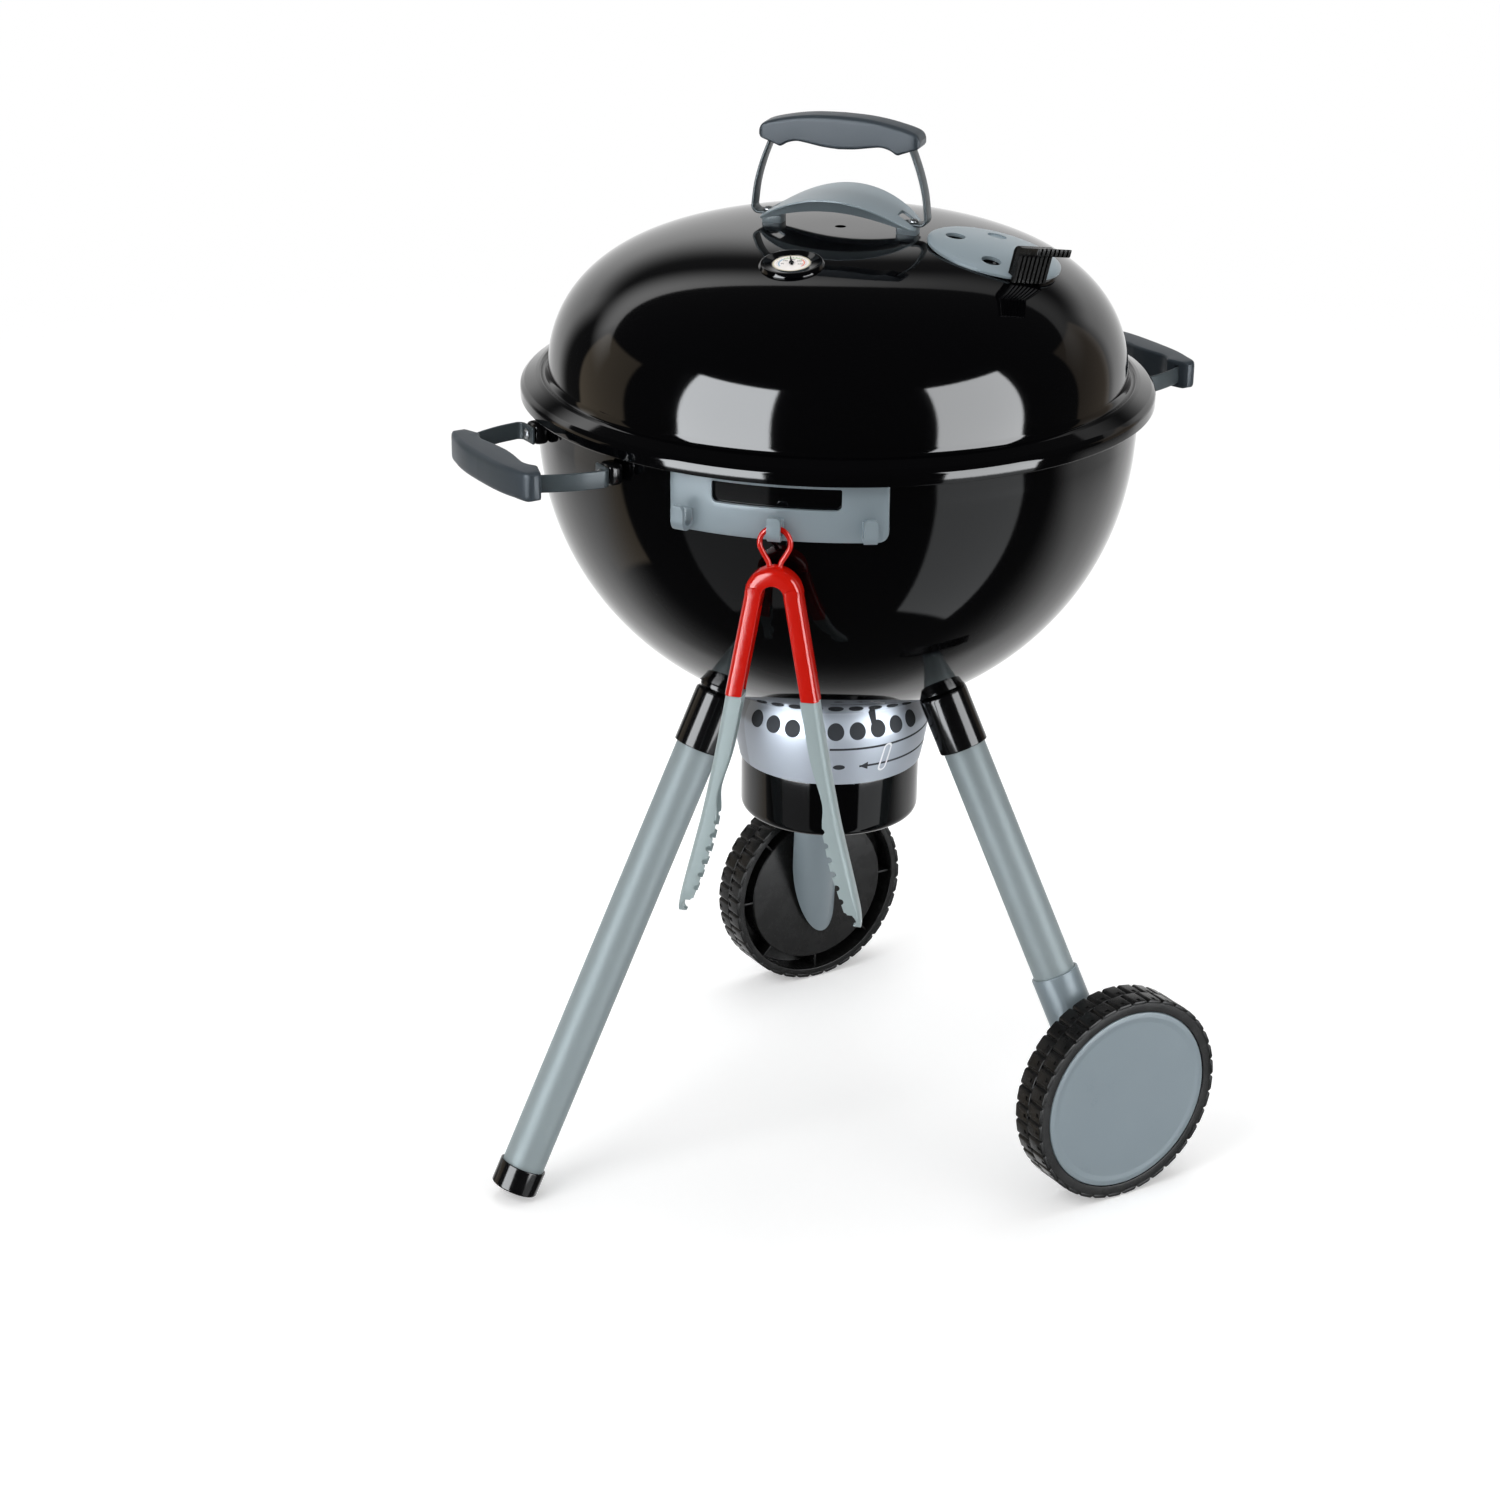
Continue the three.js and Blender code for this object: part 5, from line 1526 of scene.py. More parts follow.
@dataclass
class Leg:
    """One leg with its socket and its foot cap or wheel sleeve, in millimetres along the leg."""

    name: str
    azimuth: float
    top_radius: float
    side: int = 0
    tilt: float = 26.0
    top_height: float = 324.0
    socket_length: float = 38.5
    sleeve_start: float = 199.6
    sleeve_plane: float = 173.5

    @property
    def place(self) -> Matrix:
        """The leg's frame, with Z down the leg from the top of its socket.

        Returns:
            The frame.
        """
        tilt = math.radians(self.tilt)
        down = outward(self.azimuth) * math.sin(tilt) - UP * math.cos(tilt)
        top = outward(self.azimuth) * self.top_radius + UP * self.top_height
        return frame_of(top, across(self.azimuth), down)

    def socket(self) -> Object:
        """The black socket round the top of the tube.

        Returns:
            The piece.
        """
        end = self.socket_length
        profile = rounded([(9.8, 0, 0), (16, 0, 2.6), (16, end, 0.9), (14.2, end, 0.4), (14.2, 14, 0),
                           (9.8, 14, 0), (9.8, 0, 0)], closed=False)
        return placed(turned(f"leg_socket_{self.name}", profile, 64), self.place)

    def stub(self) -> Object:
        """The stub on the bowl inside the socket.

        Returns:
            The piece.
        """
        profile = rounded([(0, -14, 0), (14.6, -14, 0), (14.6, -0.4, 1.6), (9.5, -0.4, 0), (9.5, 13.7, 0.8),
                           (0, 13.7, 0)], closed=False)
        stub = placed(turned(f"leg_stub_{self.name}", profile, 48), self.place)
        inner = CURVES.bowl(-1.4, 24)
        room = turned("room", [(0, inner[0][1]), *inner, (0, inner[-1][1])], 96)
        return smoothed(cut(stub, room))

    def tube(self, end: float) -> Object:
        """The leg's tube down to a distance along it.

        Args:
            end: The distance.

        Returns:
            The piece.
        """
        profile = rounded([(12.4, 14.3, 0), (14, 14.3, 0.4), (14, end, 0.4), (12.4, end, 0), (12.4, 14.3, 0)],
                          closed=False)
        return placed(turned(f"leg_tube_{self.name}", profile, 64), self.place)

    def foot_cap(self, end: float) -> Object:
        """The cap on the foot, cut flat where it stands.

        Args:
            end: Where the tube ends.

        Returns:
            The piece.
        """
        profile = rounded([(0, end, 0), (15.5, end, 1.6), (15.5, end - 17, 0.9), (14.3, end - 17, 0.3),
                           (14.3, end - 4, 0), (0, end - 4, 0)], closed=False)
        cap = placed(turned("foot_cap", profile, 64), self.place)
        return trimmed(cap, Vector((0, 0, 0.02)), Vector((0, 0, -1)))

    def sleeve(self) -> Object:
        """The wheel sleeve on the tube's end, cut flat beside the wheel.

        Returns:
            The piece.
        """
        start = self.sleeve_start
        floor, end = start + 20.3, start + 150
        profile = rounded([(14.3, start, 0.4), (15.8, start, 0.6), (15.8, end, 0), (0, end, 0), (0, floor, 0),
                           (14.3, floor, 0), (14.3, start, 0)], closed=False)
        body = placed(turned(f"wheel_sleeve_{self.name}", profile, 64), self.place)
        return trimmed(body, Vector((self.side * self.sleeve_plane, 0, 0)), Vector((self.side, 0, 0)))

    def build(self, shop: Workshop) -> None:
        """Model and dress the leg.

        Args:
            shop: The workshop that dresses it.
        """
        shop.fit(self.socket(), Finish.SATIN, Body.KETTLE, f"leg_socket_{self.name}")
        shop.fit(self.stub(), Finish.SATIN, Body.KETTLE)
        if self.side:
            shop.fit(self.tube(self.sleeve_start + 20), Finish.LEG, Body.KETTLE, f"leg_tube_{self.name}")
            shop.fit(self.sleeve(), Finish.LIGHT, Body.KETTLE, f"wheel_sleeve_{self.name}")
            shop.dress_node(f"axle_{self.name}", Finish.STEEL)
            shop.dress_node(f"axle_washer_{self.name}", Finish.STEEL)
            return
        end = (self.top_height - 5.4) / math.cos(math.radians(self.tilt))
        shop.fit(self.tube(end - 4.3), Finish.LEG, Body.KETTLE, "leg_tube_foot")
        shop.fit(self.foot_cap(end), Finish.SATIN, Body.KETTLE, "foot_cap")


@dataclass
class Wheel:
    """A moulded wheel with a lugged tread and a plain cap, in millimetres outwards from its inner face."""

    name: str
    side: int
    body: Body
    radius: float = 70.5
    width: float = 26.6
    inner_plane: float = 174.7
    behind: float = 106.0
    lugs: int = 36
    lug_height: float = 1.5
    cap_radius: float = 61.7
    ribs: int = 8

    @property
    def place(self) -> Matrix:
        """The wheel's frame, with Z outwards along the axle."""
        hub = Vector((self.side * self.inner_plane, self.behind, self.radius))
        return frame_of(hub, -UP, Vector((self.side, 0, 0)))

    def rim(self) -> Object:
        """The wheel's body, spun from its section.

        Returns:
            The piece.
        """
        tread = self.radius - self.lug_height
        w = self.width
        profile = rounded([
            (5.3, 3.2, 0), (54.8, 3.2, 1.2), (54.8, 18.4, 0.5), (64.0, 18.4, 0.5), (64.0, 0.5, 0.6),
            (tread, 0.5, 0.8), (tread, w - 0.3, 1.2), (62.1, w - 0.3, 0.5), (62.1, 22.6, 0), (52.8, 22.6, 0),
            (52.8, 5.2, 0), (9.0, 5.2, 0), (9.0, 18.0, 0.4), (5.3, 18.0, 0), (5.3, 3.2, 0),
        ], closed=False, steps=4)
        return turned("rim", profile, 144)

    def lug(self) -> Object:
        """One tread lug at the wheel's top, standing out of the rim.

        Returns:
            The piece.
        """
        pitch = 2 * math.pi * self.radius / self.lugs
        foot, top = self.radius - self.lug_height - 1.2, self.radius
        outline = rounded([(-0.5 * pitch, foot, 0), (0.5 * pitch, foot, 0), (0.39 * pitch, top - 0.12, 2.4),
                           (-0.39 * pitch, top - 0.12, 2.4)], steps=4)
        one = plated("lug", outline, self.width / 2 - 0.1)
        softened(one, 0.6, 3, 50)
        notch = plated("notch", rounded_box(-0.11 * pitch, 0.11 * pitch, top - 0.9, top + 1, 0.3), 3.4)
        return smoothed(cut(one, placed(notch, moved_by(0, 0, 4.0))), 40)

    def tread(self) -> list[Object]:
        """The two staggered rows of lugs.

        Returns:
            The pieces.
        """
        one = self.lug()
        made = []
        for row, shift in ((0.25, 0.0), (0.75, 0.5)):
            level = moved_by(0, 0, self.width * row)
            for i in range(self.lugs):
                made.append(copied(one, "lug", turned_by(360 * (i + shift) / self.lugs) @ level))
        bpy.data.objects.remove(one)
        return made

    def spokes(self) -> list[Object]:
        """The short ribs in the recess on the wheel's inner side.

        Returns:
            The pieces.
        """
        one = block("rib", (54.0, -0.8, 3.8), (64.6, 0.8, 19.0), 0.3)
        made = [copied(one, "rib", turned_by(360 * i / self.ribs)) for i in range(self.ribs)]
        bpy.data.objects.remove(one)
        return made

    def cap(self) -> Object:
        """The cap: flat, with a shallow step near its softened rim.

        Returns:
            The piece.
        """
        r, foot, face = self.cap_radius, 22.9, self.width - 0.25
        profile = rounded([(0, foot, 0), (r, foot, 0.3), (r, face - 0.2, 1.0), (r - 3.6, face, 2.0),
                           (r - 7.0, face - 0.25, 2.6), (0, face - 0.25, 0)], closed=False, steps=6)
        return placed(turned(f"hub_cap_{self.name}", profile, 144), self.place)

    def build(self, shop: Workshop) -> None:
        """Model and dress the wheel.

        Args:
            shop: The workshop that dresses it.
        """
        made = placed(joined(f"wheel_{self.name}", [self.rim(), *self.tread(), *self.spokes()]), self.place)
        shop.fit(made, Finish.WHEEL, self.body, f"wheel_{self.name}")
        shop.fit(self.cap(), Finish.LIGHT, self.body, f"hub_cap_{self.name}")


# Handles


@dataclass
class Handle:
    """A strap with turned-in feet through a moulded grip, in millimetres in its own frame.

    X runs along the grip, Y away from the shell and Z across the strap.
    """

    name: str
    place: Matrix
    reach: float
    body: Body
    lugs: bool
    half_length: float = 51.5
    depth: float = 20.4
    width: float = 18.0
    strap_width: float = 11.0
    strap_thickness: float = 2.0
    screw_place: float = 47.0
    slot_place: float = 44.6

    def strap_path(self) -> list[Point]:
        """Half of the strap's middle line, from its foot into the grip.

        Returns:
            The points.
        """
        top = self.reach + 8
        rise = top - 4 - 9.8
        shares = [(0.0, 0.0), (0.33, 0.16), (0.66, 0.5), (1.0, 1.0)]
        bow = [(56 - 11.5 * out, 9.8 + rise * up) for up, out in shares]
        return [(40, 5.8), *arc(52, 9.8, 4, -90, 0, 6)[:-1], *eased(bow, 6)]

    def strap(self) -> Object:
        """The strap, one leg and its mirror image joined inside the grip.

        Returns:
            The piece.
        """
        half = plated("strap", band(self.strap_path(), self.strap_thickness), self.strap_width)
        softened(half, 0.85, 4, 50)
        other = flipped(copied(half, "strap"), 0)
        return placed(joined(f"{self.name}_strap", [half, smoothed(other)]), self.place)

    def grip_station(self, share: float) -> Station:
        """The grip's section: arched above, scalloped below and rounder at its end.

        Args:
            share: Share of the half length.

        Returns:
            The section's station.
        """
        top = eased([(0, 1), (0.3, 0.975), (0.55, 0.9), (0.78, 0.78), (0.9, 0.69), (0.955, 0.62),
                     (0.985, 0.54), (1.0, 0.43)], 4)
        low = eased([(0, 0), (0.2, 0.035), (0.4, 0.115), (0.53, 0.15), (0.64, 0.08), (0.7, -0.01),
                     (0.735, -0.04), (0.78, 0.0), (0.92, 0.13), (0.975, 0.18), (1.0, 0.27)], 4)
        sides = [(0, 1.0), (0.9, 1.0), (0.945, 0.985), (0.98, 0.92), (1.0, 0.80)]
        high, foot = level_on(top, abs(share)), level_on(low, abs(share))
        middle = self.reach + (high + foot) / 2 * self.depth
        return (share * self.half_length, 0.0, middle, self.width * level_on(sides, abs(share)),
                (high - foot) * self.depth)

    def grip(self) -> Object:
        """The grip, its rounded section swept along it, with slots for the strap.

        Returns:
            The piece.
        """
        corner = 0.17
        section = rounded([(-0.5, -0.5, corner * 0.7), (0.5, -0.5, corner * 0.7), (0.5, 0.5, corner * 1.2),
                           (-0.5, 0.5, corner * 1.2)], steps=7)
        shares = [0.9 * i / 40 for i in range(40)]
        shares += [0.9 + 0.1 * math.sin(math.pi / 2 * i / 10) for i in range(11)]
        whole = [*[-share for share in reversed(shares[1:])], *shares]
        grip = lofted("grip", section, [self.grip_station(share) for share in whole])
        for end in (-1, 1):
            x = self.slot_place * end
            slot = block("slot", (x - 1.7, self.reach - 3, -5.9), (x + 1.7, self.reach + 9, 5.9), 0)
            cut(grip, slot)
        grip.name = f"{self.name}_grip"
        return placed(smoothed(grip, 34), self.place)

    def screw(self, end: int) -> Object:
        """A round-headed cross-slotted screw on one foot of the strap.

        Args:
            end: 1 or -1, for the end of the handle.

        Returns:
            The piece.
        """
        head = 7.1
        profile = rounded([(0, -6, 0), (1.6, -6, 0.3), (1.6, head, 0), (3.4, head, 0.3),
                           (3.1, head + 0.8, 0.5), (1.6, head + 1.6, 0.8), (0, head + 1.6, 0)], closed=False)
        made = turned("screw", profile, 32)
        for turn in (20, 110):
            blade = block("blade", (-2.1, -0.32, head + 0.7), (2.1, 0.32, head + 3), 0)
            cut(made, placed(blade, turned_by(turn)))
        placed(smoothed(made), moved_by(end * self.screw_place, 0, 0) @ turned_by(-90, "X"))
        return placed(made, self.place)

    def lug(self, end: int) -> Object:
        """The black block between the bowl and one foot of the strap.

        Args:
            end: 1 or -1, for the end of the handle.

        Returns:
            The piece.
        """
        x = end * self.screw_place
        made = block("lug", (x - 7.0, -5.4, -6.6), (x + 7.0, 4.5, 6.6), 3.0)
        return placed(made, self.place)

    def build(self, shop: Workshop) -> None:
        """Model and dress the handle.

        Args:
            shop: The workshop that dresses it.
        """
        shop.fit(self.strap(), Finish.STRAP, self.body, *self.nodes("strap"))
        shop.fit(self.grip(), Finish.GRIP, self.body, *self.nodes("grip"))
        for mark, end in (("a", -1), ("b", 1)):
            screw = self.screw(end)
            screw.name = f"{self.name}_screw_{mark}"
            shop.fit(screw, Finish.STEEL, self.body, *self.nodes("screw", mark))
            if self.lugs:
                lug = self.lug(end)
                lug.name = f"{self.name}_lug_{mark}"
                shop.fit(lug, Finish.SATIN, self.body, *self.nodes("lug", mark))

    def nodes(self, part: str, mark: str = "") -> list[str]:
        """The name of the CAD node for one part of this handle.

        Args:
            part: The part's name.
            mark: The letter after the side, if any.

        Returns:
            The names.
        """
        where = self.name.split("_")
        words = [where[0], part, *where[1:], *([mark] if mark else [])]
        return ["_".join(words)]


@dataclass
class HeatShield:
    """The arched leaf-shaped shield under the lid's grip, in millimetres in the handle's frame."""

    place: Matrix
    half_length: float = 50.0
    arch: float = 18.0
    foot: float = 4.5
    hem_start: float = 2.6
    hem_rise: float = 11.0
    wall: float = 1.8
    middle_half_width: float = 27.0
    end_half_width: float = 8.5
    width_curve: float = 0.6
    stations: int = 48

    def swell(self, x: float) -> float:
        """The share of the arch's height at a place along it."""
        return max(1 - (x / self.half_length) ** 2, 0.0)

    def half_width(self, x: float) -> float:
        """Half of the shield's width at a place along it."""
        grow = self.middle_half_width - self.end_half_width
        return self.end_half_width + grow * self.swell(x) ** self.width_curve

    def section(self) -> list[Corner]:
        """The hood's section at its first end: a crowned top with rounded shoulders and two hems.

        Returns:
            The corners.
        """
        w, wall, deep = self.end_half_width, self.wall, 11.0
        half = rounded([(-0.72 * w, -deep, 0), (-0.96 * w, -1.9, 0.2), (-w, -1.7, 0.35), (-w, -0.45, 0.5),
                        (-0.93 * w, -0.5, 0.2), (0, 0.5, 0)], closed=False, steps=5)
        outer = [*half, *[(-z, y) for z, y in reversed(half[:-1])]]
        hem, shoulder = 0.72 * w - 0.5, 0.96 * w - 0.7
        inner = rounded([(hem, -deep, 0), (shoulder, -0.5 - wall, 0.8), (0, 0.5 - wall, 40),
                         (-shoulder, -0.5 - wall, 0.8), (-hem, -deep, 0)], closed=False, steps=6)
        return [(-self.half_length, self.foot + y, z) for z, y in [*outer, *inner]]

    def hood(self) -> Object:
        """The hood, its section extruded along the arch with its width and height changed at each station.

        Returns:
            The piece.
        """
        hood = faced("hood", self.section())
        places = [self.half_length * (2 * i / self.stations - 1) for i in range(self.stations + 1)]
        for before, after in pairwise(places):
            push((after - before, self.arch * (self.swell(after) - self.swell(before)), 0))
            ratio = self.half_width(after) / self.half_width(before)
            bpy.ops.transform.resize(value=(1, 1, ratio), center_override=(0, 0, 0))
        closed_up()
        return hood

    def build(self, shop: Workshop) -> None:
        """Model and dress the shield.

        Args:
            shop: The workshop that dresses it.
        """
        body = self.hood()
        steps = [self.half_length * 1.02 * (i / 24 - 1) for i in range(49)]
        hem = [(x, self.hem_start + self.hem_rise * self.swell(x)) for x in steps]
        cut(body, plated("under", [*hem, (60, -20), (-60, -20)], 70))
        for end in (-1, 1):
            low, high = sorted((end * 38.0, end * 60.0))
            cut(body, softened(block("room", (low, self.foot + 0.1, -6.3), (high, 40, 6.3), 0), 1.5, 4))
        parts = [body]
        for end in (-1, 1):
            near, far = sorted((end * (self.half_length - 13), end * self.half_length))
            parts.append(block("pad", (near, -3.0, -5), (far, self.foot + 0.6, 5), 1.2))
        made = joined("heat_shield", parts)
        shop.fit(placed(smoothed(made, 40), self.place), Finish.LIGHT, Body.LID, "heat_shield")


# What stands on the lid


@dataclass
class Thermometer:
    """The thermometer's bezel, printed dial and pointer, in millimetres in its own frame."""

    azimuth: float = THERMOMETER_AZIMUTH
    axis_radius: float = THERMOMETER_RADIUS
    tilt: float = 9.6
    lift: float = 0.8
    radius: float = 19.9
    numerals: tuple[str, ...] = ("50", "100", "150", "200", "250")
    numeral_size: float = 2.1
    numeral_circle: float = 5.5

    @property
    def place(self) -> Matrix:
        """The thermometer's frame, with Z out of its face.

        Returns:
            The frame.
        """
        tilt = math.radians(self.tilt)
        normal = outward(self.azimuth) * math.sin(tilt) + UP * math.cos(tilt)
        level = CURVES.dome_height(self.axis_radius) + self.lift
        centre = outward(self.azimuth) * self.axis_radius + UP * level
        return frame_of(centre, outward(self.azimuth), normal)

    def bezel(self) -> Object:
        """The black bezel with its sloped inner face, and the stem under it.

        Returns:
            The piece.
        """
        r = self.radius
        profile = rounded([
            (0, -14, 0), (3.5, -14, 0.4), (3.5, -6, 0), (r, -6, 0), (r + 0.1, -0.6, 0.8),
            (r - 1.3, 1.35, 1.2), (17.2, 1.5, 0.6), (12.1, 0.6, 0.4), (11.9, -0.9, 0), (0, -0.9, 0),
        ], closed=False, steps=6)
        return placed(turned("thermometer_bezel", profile, 96), self.place)

    def dial(self) -> Object:
        """The flat dial."""
        profile = rounded([(0, -0.5, 0), (11.8, -0.5, 0), (11.8, 0.3, 0.1), (0, 0.3, 0)], closed=False)
        return placed(turned("thermometer_dial", profile, 96), self.place)

    def pointer(self) -> Object:
        """The pointer and its hub.

        Returns:
            The piece.
        """
        outline = rounded([(-3, -0.75, 0.2), (9, -0.28, 0.1), (9, 0.28, 0.1), (-3, 0.75, 0.2)])
        needle = plated("needle", outline, 0.45)
        placed(needle, moved_by(0, 0, 0.85))
        profile = rounded([(0, 0.6, 0), (1.6, 0.6, 0.1), (1.5, 1.5, 0.3), (0, 1.5, 0)], closed=False)
        hub = turned("hub", profile, 24)
        made = joined("thermometer_pointer", [smoothed(needle), hub])
        return placed(made, self.place @ turned_by(self.up_turn + 12))

    @property
    def up_turn(self) -> float:
        """The dial's upward direction in its own frame, in degrees."""
        return FINISHES[Finish.DIAL].up_azimuth - self.azimuth

    def numerals_piece(self) -> Object:
        """The raised numerals round the dial.

        Returns:
            The piece.
        """
        made = []
        for i, words in enumerate(self.numerals):
            turn = math.radians(100 - 50 * i)
            deselect()
            bpy.ops.object.text_add()
            text = bpy.context.object
            text.data.body = words
            text.data.size = self.numeral_size * MM
            text.data.extrude = 0.05 * MM
            text.data.align_x = "CENTER"
            text.data.align_y = "CENTER"
            bpy.ops.object.convert(target="MESH")
            number = started("numeral")
            upright = turned_by(self.up_turn - 90)
            spot = Vector((-math.sin(turn), math.cos(turn), 0)) * self.numeral_circle
            made.append(placed(number, upright @ moved_by(*spot)))
        numbers = joined("thermometer_numerals", made)
        return placed(placed(numbers, moved_by(0, 0, 0.3)), self.place)

    def build(self, shop: Workshop) -> None:
        """Model and dress the thermometer.

        Args:
            shop: The workshop that dresses it.
        """
        shop.fit(self.bezel(), Finish.ENAMEL, Body.LID, "thermometer_bezel")
        shop.fit(self.dial(), Finish.DIAL, Body.LID, "thermometer_dial")
        shop.fit(self.pointer(), Finish.SATIN, Body.LID, "thermometer_pointer")
        shop.fit(self.numerals_piece(), Finish.SATIN, Body.LID)


@dataclass
class Damper:
    """The damper disc on its seat, with its ribbed thumb tab, in millimetres in its own frame."""

    azimuth: float = 38.0
    axis_radius: float = 100.0
    seat_radius: float = 41.4
    seat_rise: float = 0.9
    crown: float = 3.0
    radius: float = 42.0
    thickness: float = 2.2
    gap: float = 0.3
    hole_circle: float = 26.0
    hole_radius: float = 6.2
    open_holes: tuple[float, ...] = (182.0, -78.0)
    blind_hole: float = 105.0
    tab_turn: float = -42.0

    @property
    def place(self) -> Matrix:
        """The damper's frame, with Z out of the lid.

        Returns:
            The frame.
        """
        reach = self.seat_radius / 2
        fall = CURVES.dome_height(self.axis_radius - reach) - CURVES.dome_height(self.axis_radius + reach)
        slope = math.atan2(fall, self.seat_radius)
        normal = outward(self.azimuth) * math.sin(slope) + UP * math.cos(slope)
        centre = outward(self.azimuth) * self.axis_radius + UP * CURVES.dome_height(self.axis_radius)
        return frame_of(centre, outward(self.azimuth), normal)

    def surface(self, radius: float, lift: float) -> list[Point]:
        """The crowned surface as radii and heights, lifted by an amount."""
        steps = [radius * i / 10 for i in range(11)]
        return [(r, self.seat_rise + lift - self.crown * (r / self.seat_radius) ** 2) for r in steps]

    def hole(self, angle: float, radius: float, low: float, high: float) -> Object:
        """A round cutter on the hole circle.

        Args:
            angle: Where it is on the circle.
            radius: Its radius.
            low: Its foot.
            high: Its top.

        Returns:
            The piece.
        """
        a = math.radians(angle)
        x, y = self.hole_circle * math.cos(a), self.hole_circle * math.sin(a)
        made = turned("hole", [(0, low), (radius, low), (radius, high), (0, high)], 40)
        return placed(made, moved_by(x, y, 0))

    def seat(self) -> Object:
        """The raised seat on the lid, with its vents.

        Returns:
            The piece.
        """
        r = self.seat_radius
        top = self.surface(r, 0)
        profile = [(0, -6), (r, -6), (r, top[-1][1] - 0.3), *reversed(top)]
        made = turned("damper_seat", profile, 96)
        for angle in self.open_holes:
            cut(made, self.hole(angle, 5.8, -5.2, 9))
        return placed(smoothed(made), self.place)

    def disc(self) -> Object:
        """The disc with two open holes, a closed one and its stem.

        Returns:
            The piece.
        """
        under = self.surface(self.radius, self.gap)
        top = self.surface(self.radius - 1.6, self.gap + self.thickness)
        edge = rounded([(*under[-1], 0.4), (self.radius, top[-1][1] - 0.9, 0.9), (*top[-1], 0)], closed=False)
        made = turned("disc", [(0, under[0][1]), *under[1:-1], *edge, *reversed(top[:-1])], 128)
        cutters = [self.hole(angle, self.hole_radius, -3, 9) for angle in self.open_holes]
        fall = self.crown * (self.hole_circle / self.seat_radius) ** 2
        level = self.seat_rise + self.gap + self.thickness - fall
        cutters.append(self.hole(self.blind_hole, self.hole_radius, level - 1.5, 9))
        cut(made, *cutters)
        softened(made, 0.7, 3, 50)
        stem = turned("stem", [(0, -12), (4, -12), (4, 2.2), (0, 2.2)], 32)
        made = joined("damper_disc", [smoothed(made, 28), stem])
        return placed(made, self.place)

    def tab(self) -> Object:
        """The thumb tab: a wall with a rising lever, ribbed on its outer side.

        Returns:
            The piece.
        """
        back, front, tip, height, rise = 36.0, 43.6, 61.0, 19.5, 6.5
        outline = [(back, -3.2), (front, -3.2), (front, height - 5), (tip, height + rise - 5),
                   (tip, height + rise), (front - 0.5, height), *arc(back + 5, height - 5, 5, 90, 180, 8)]
        made = plated("tab", outline, 24)
        softened(made, 0.7, 3, 35)
        cutter = [(front - 1.4, -5), (70, -5), (70, 30), (tip - 1.4, 30), (tip - 1.4, height + rise - 3.9),
                  (front - 1.4, height - 3.6)]
        for i in range(7):
            groove = plated("groove", cutter, 1.35)
            cut(made, placed(groove, moved_by(0, 0, (i - 3) * 3.05)))
        for face in (-1, 1):
            panel = rounded([(37.6, -4, 0), (41, -4, 0), (41, 15.6, 1), (50, 18.8, 1), (50, 21.2, 1),
                             (37.6, 18, 3)])
            cut(made, placed(plated("panel", panel, 1.0), moved_by(0, 0, face * 12)))
        stand = turned_by(self.tab_turn) @ turned_by(90, "X")
        placed(made, stand)
        rim = self.radius + 0.1
        under = [(0, -9), (rim, -9), (rim, 0.6), *reversed(self.surface(41.5, 2.4))]
        cut(made, turned("room", under, 96))
        made.name = "damper_tab"
        return placed(smoothed(made, 35), self.place)

    def build(self, shop: Workshop) -> None:
        """Model and dress the damper.

        Args:
            shop: The workshop that dresses it.
        """
        shop.fit(self.seat(), Finish.ENAMEL, Body.LID)
        shop.fit(self.disc(), Finish.LIGHT, Body.DAMPER, "damper_disc")
        shop.fit(self.tab(), Finish.WHEEL, Body.DAMPER, "damper_tab")
        shop.dress_node("damper_clip", Finish.STEEL)


# Tool rack and tongs


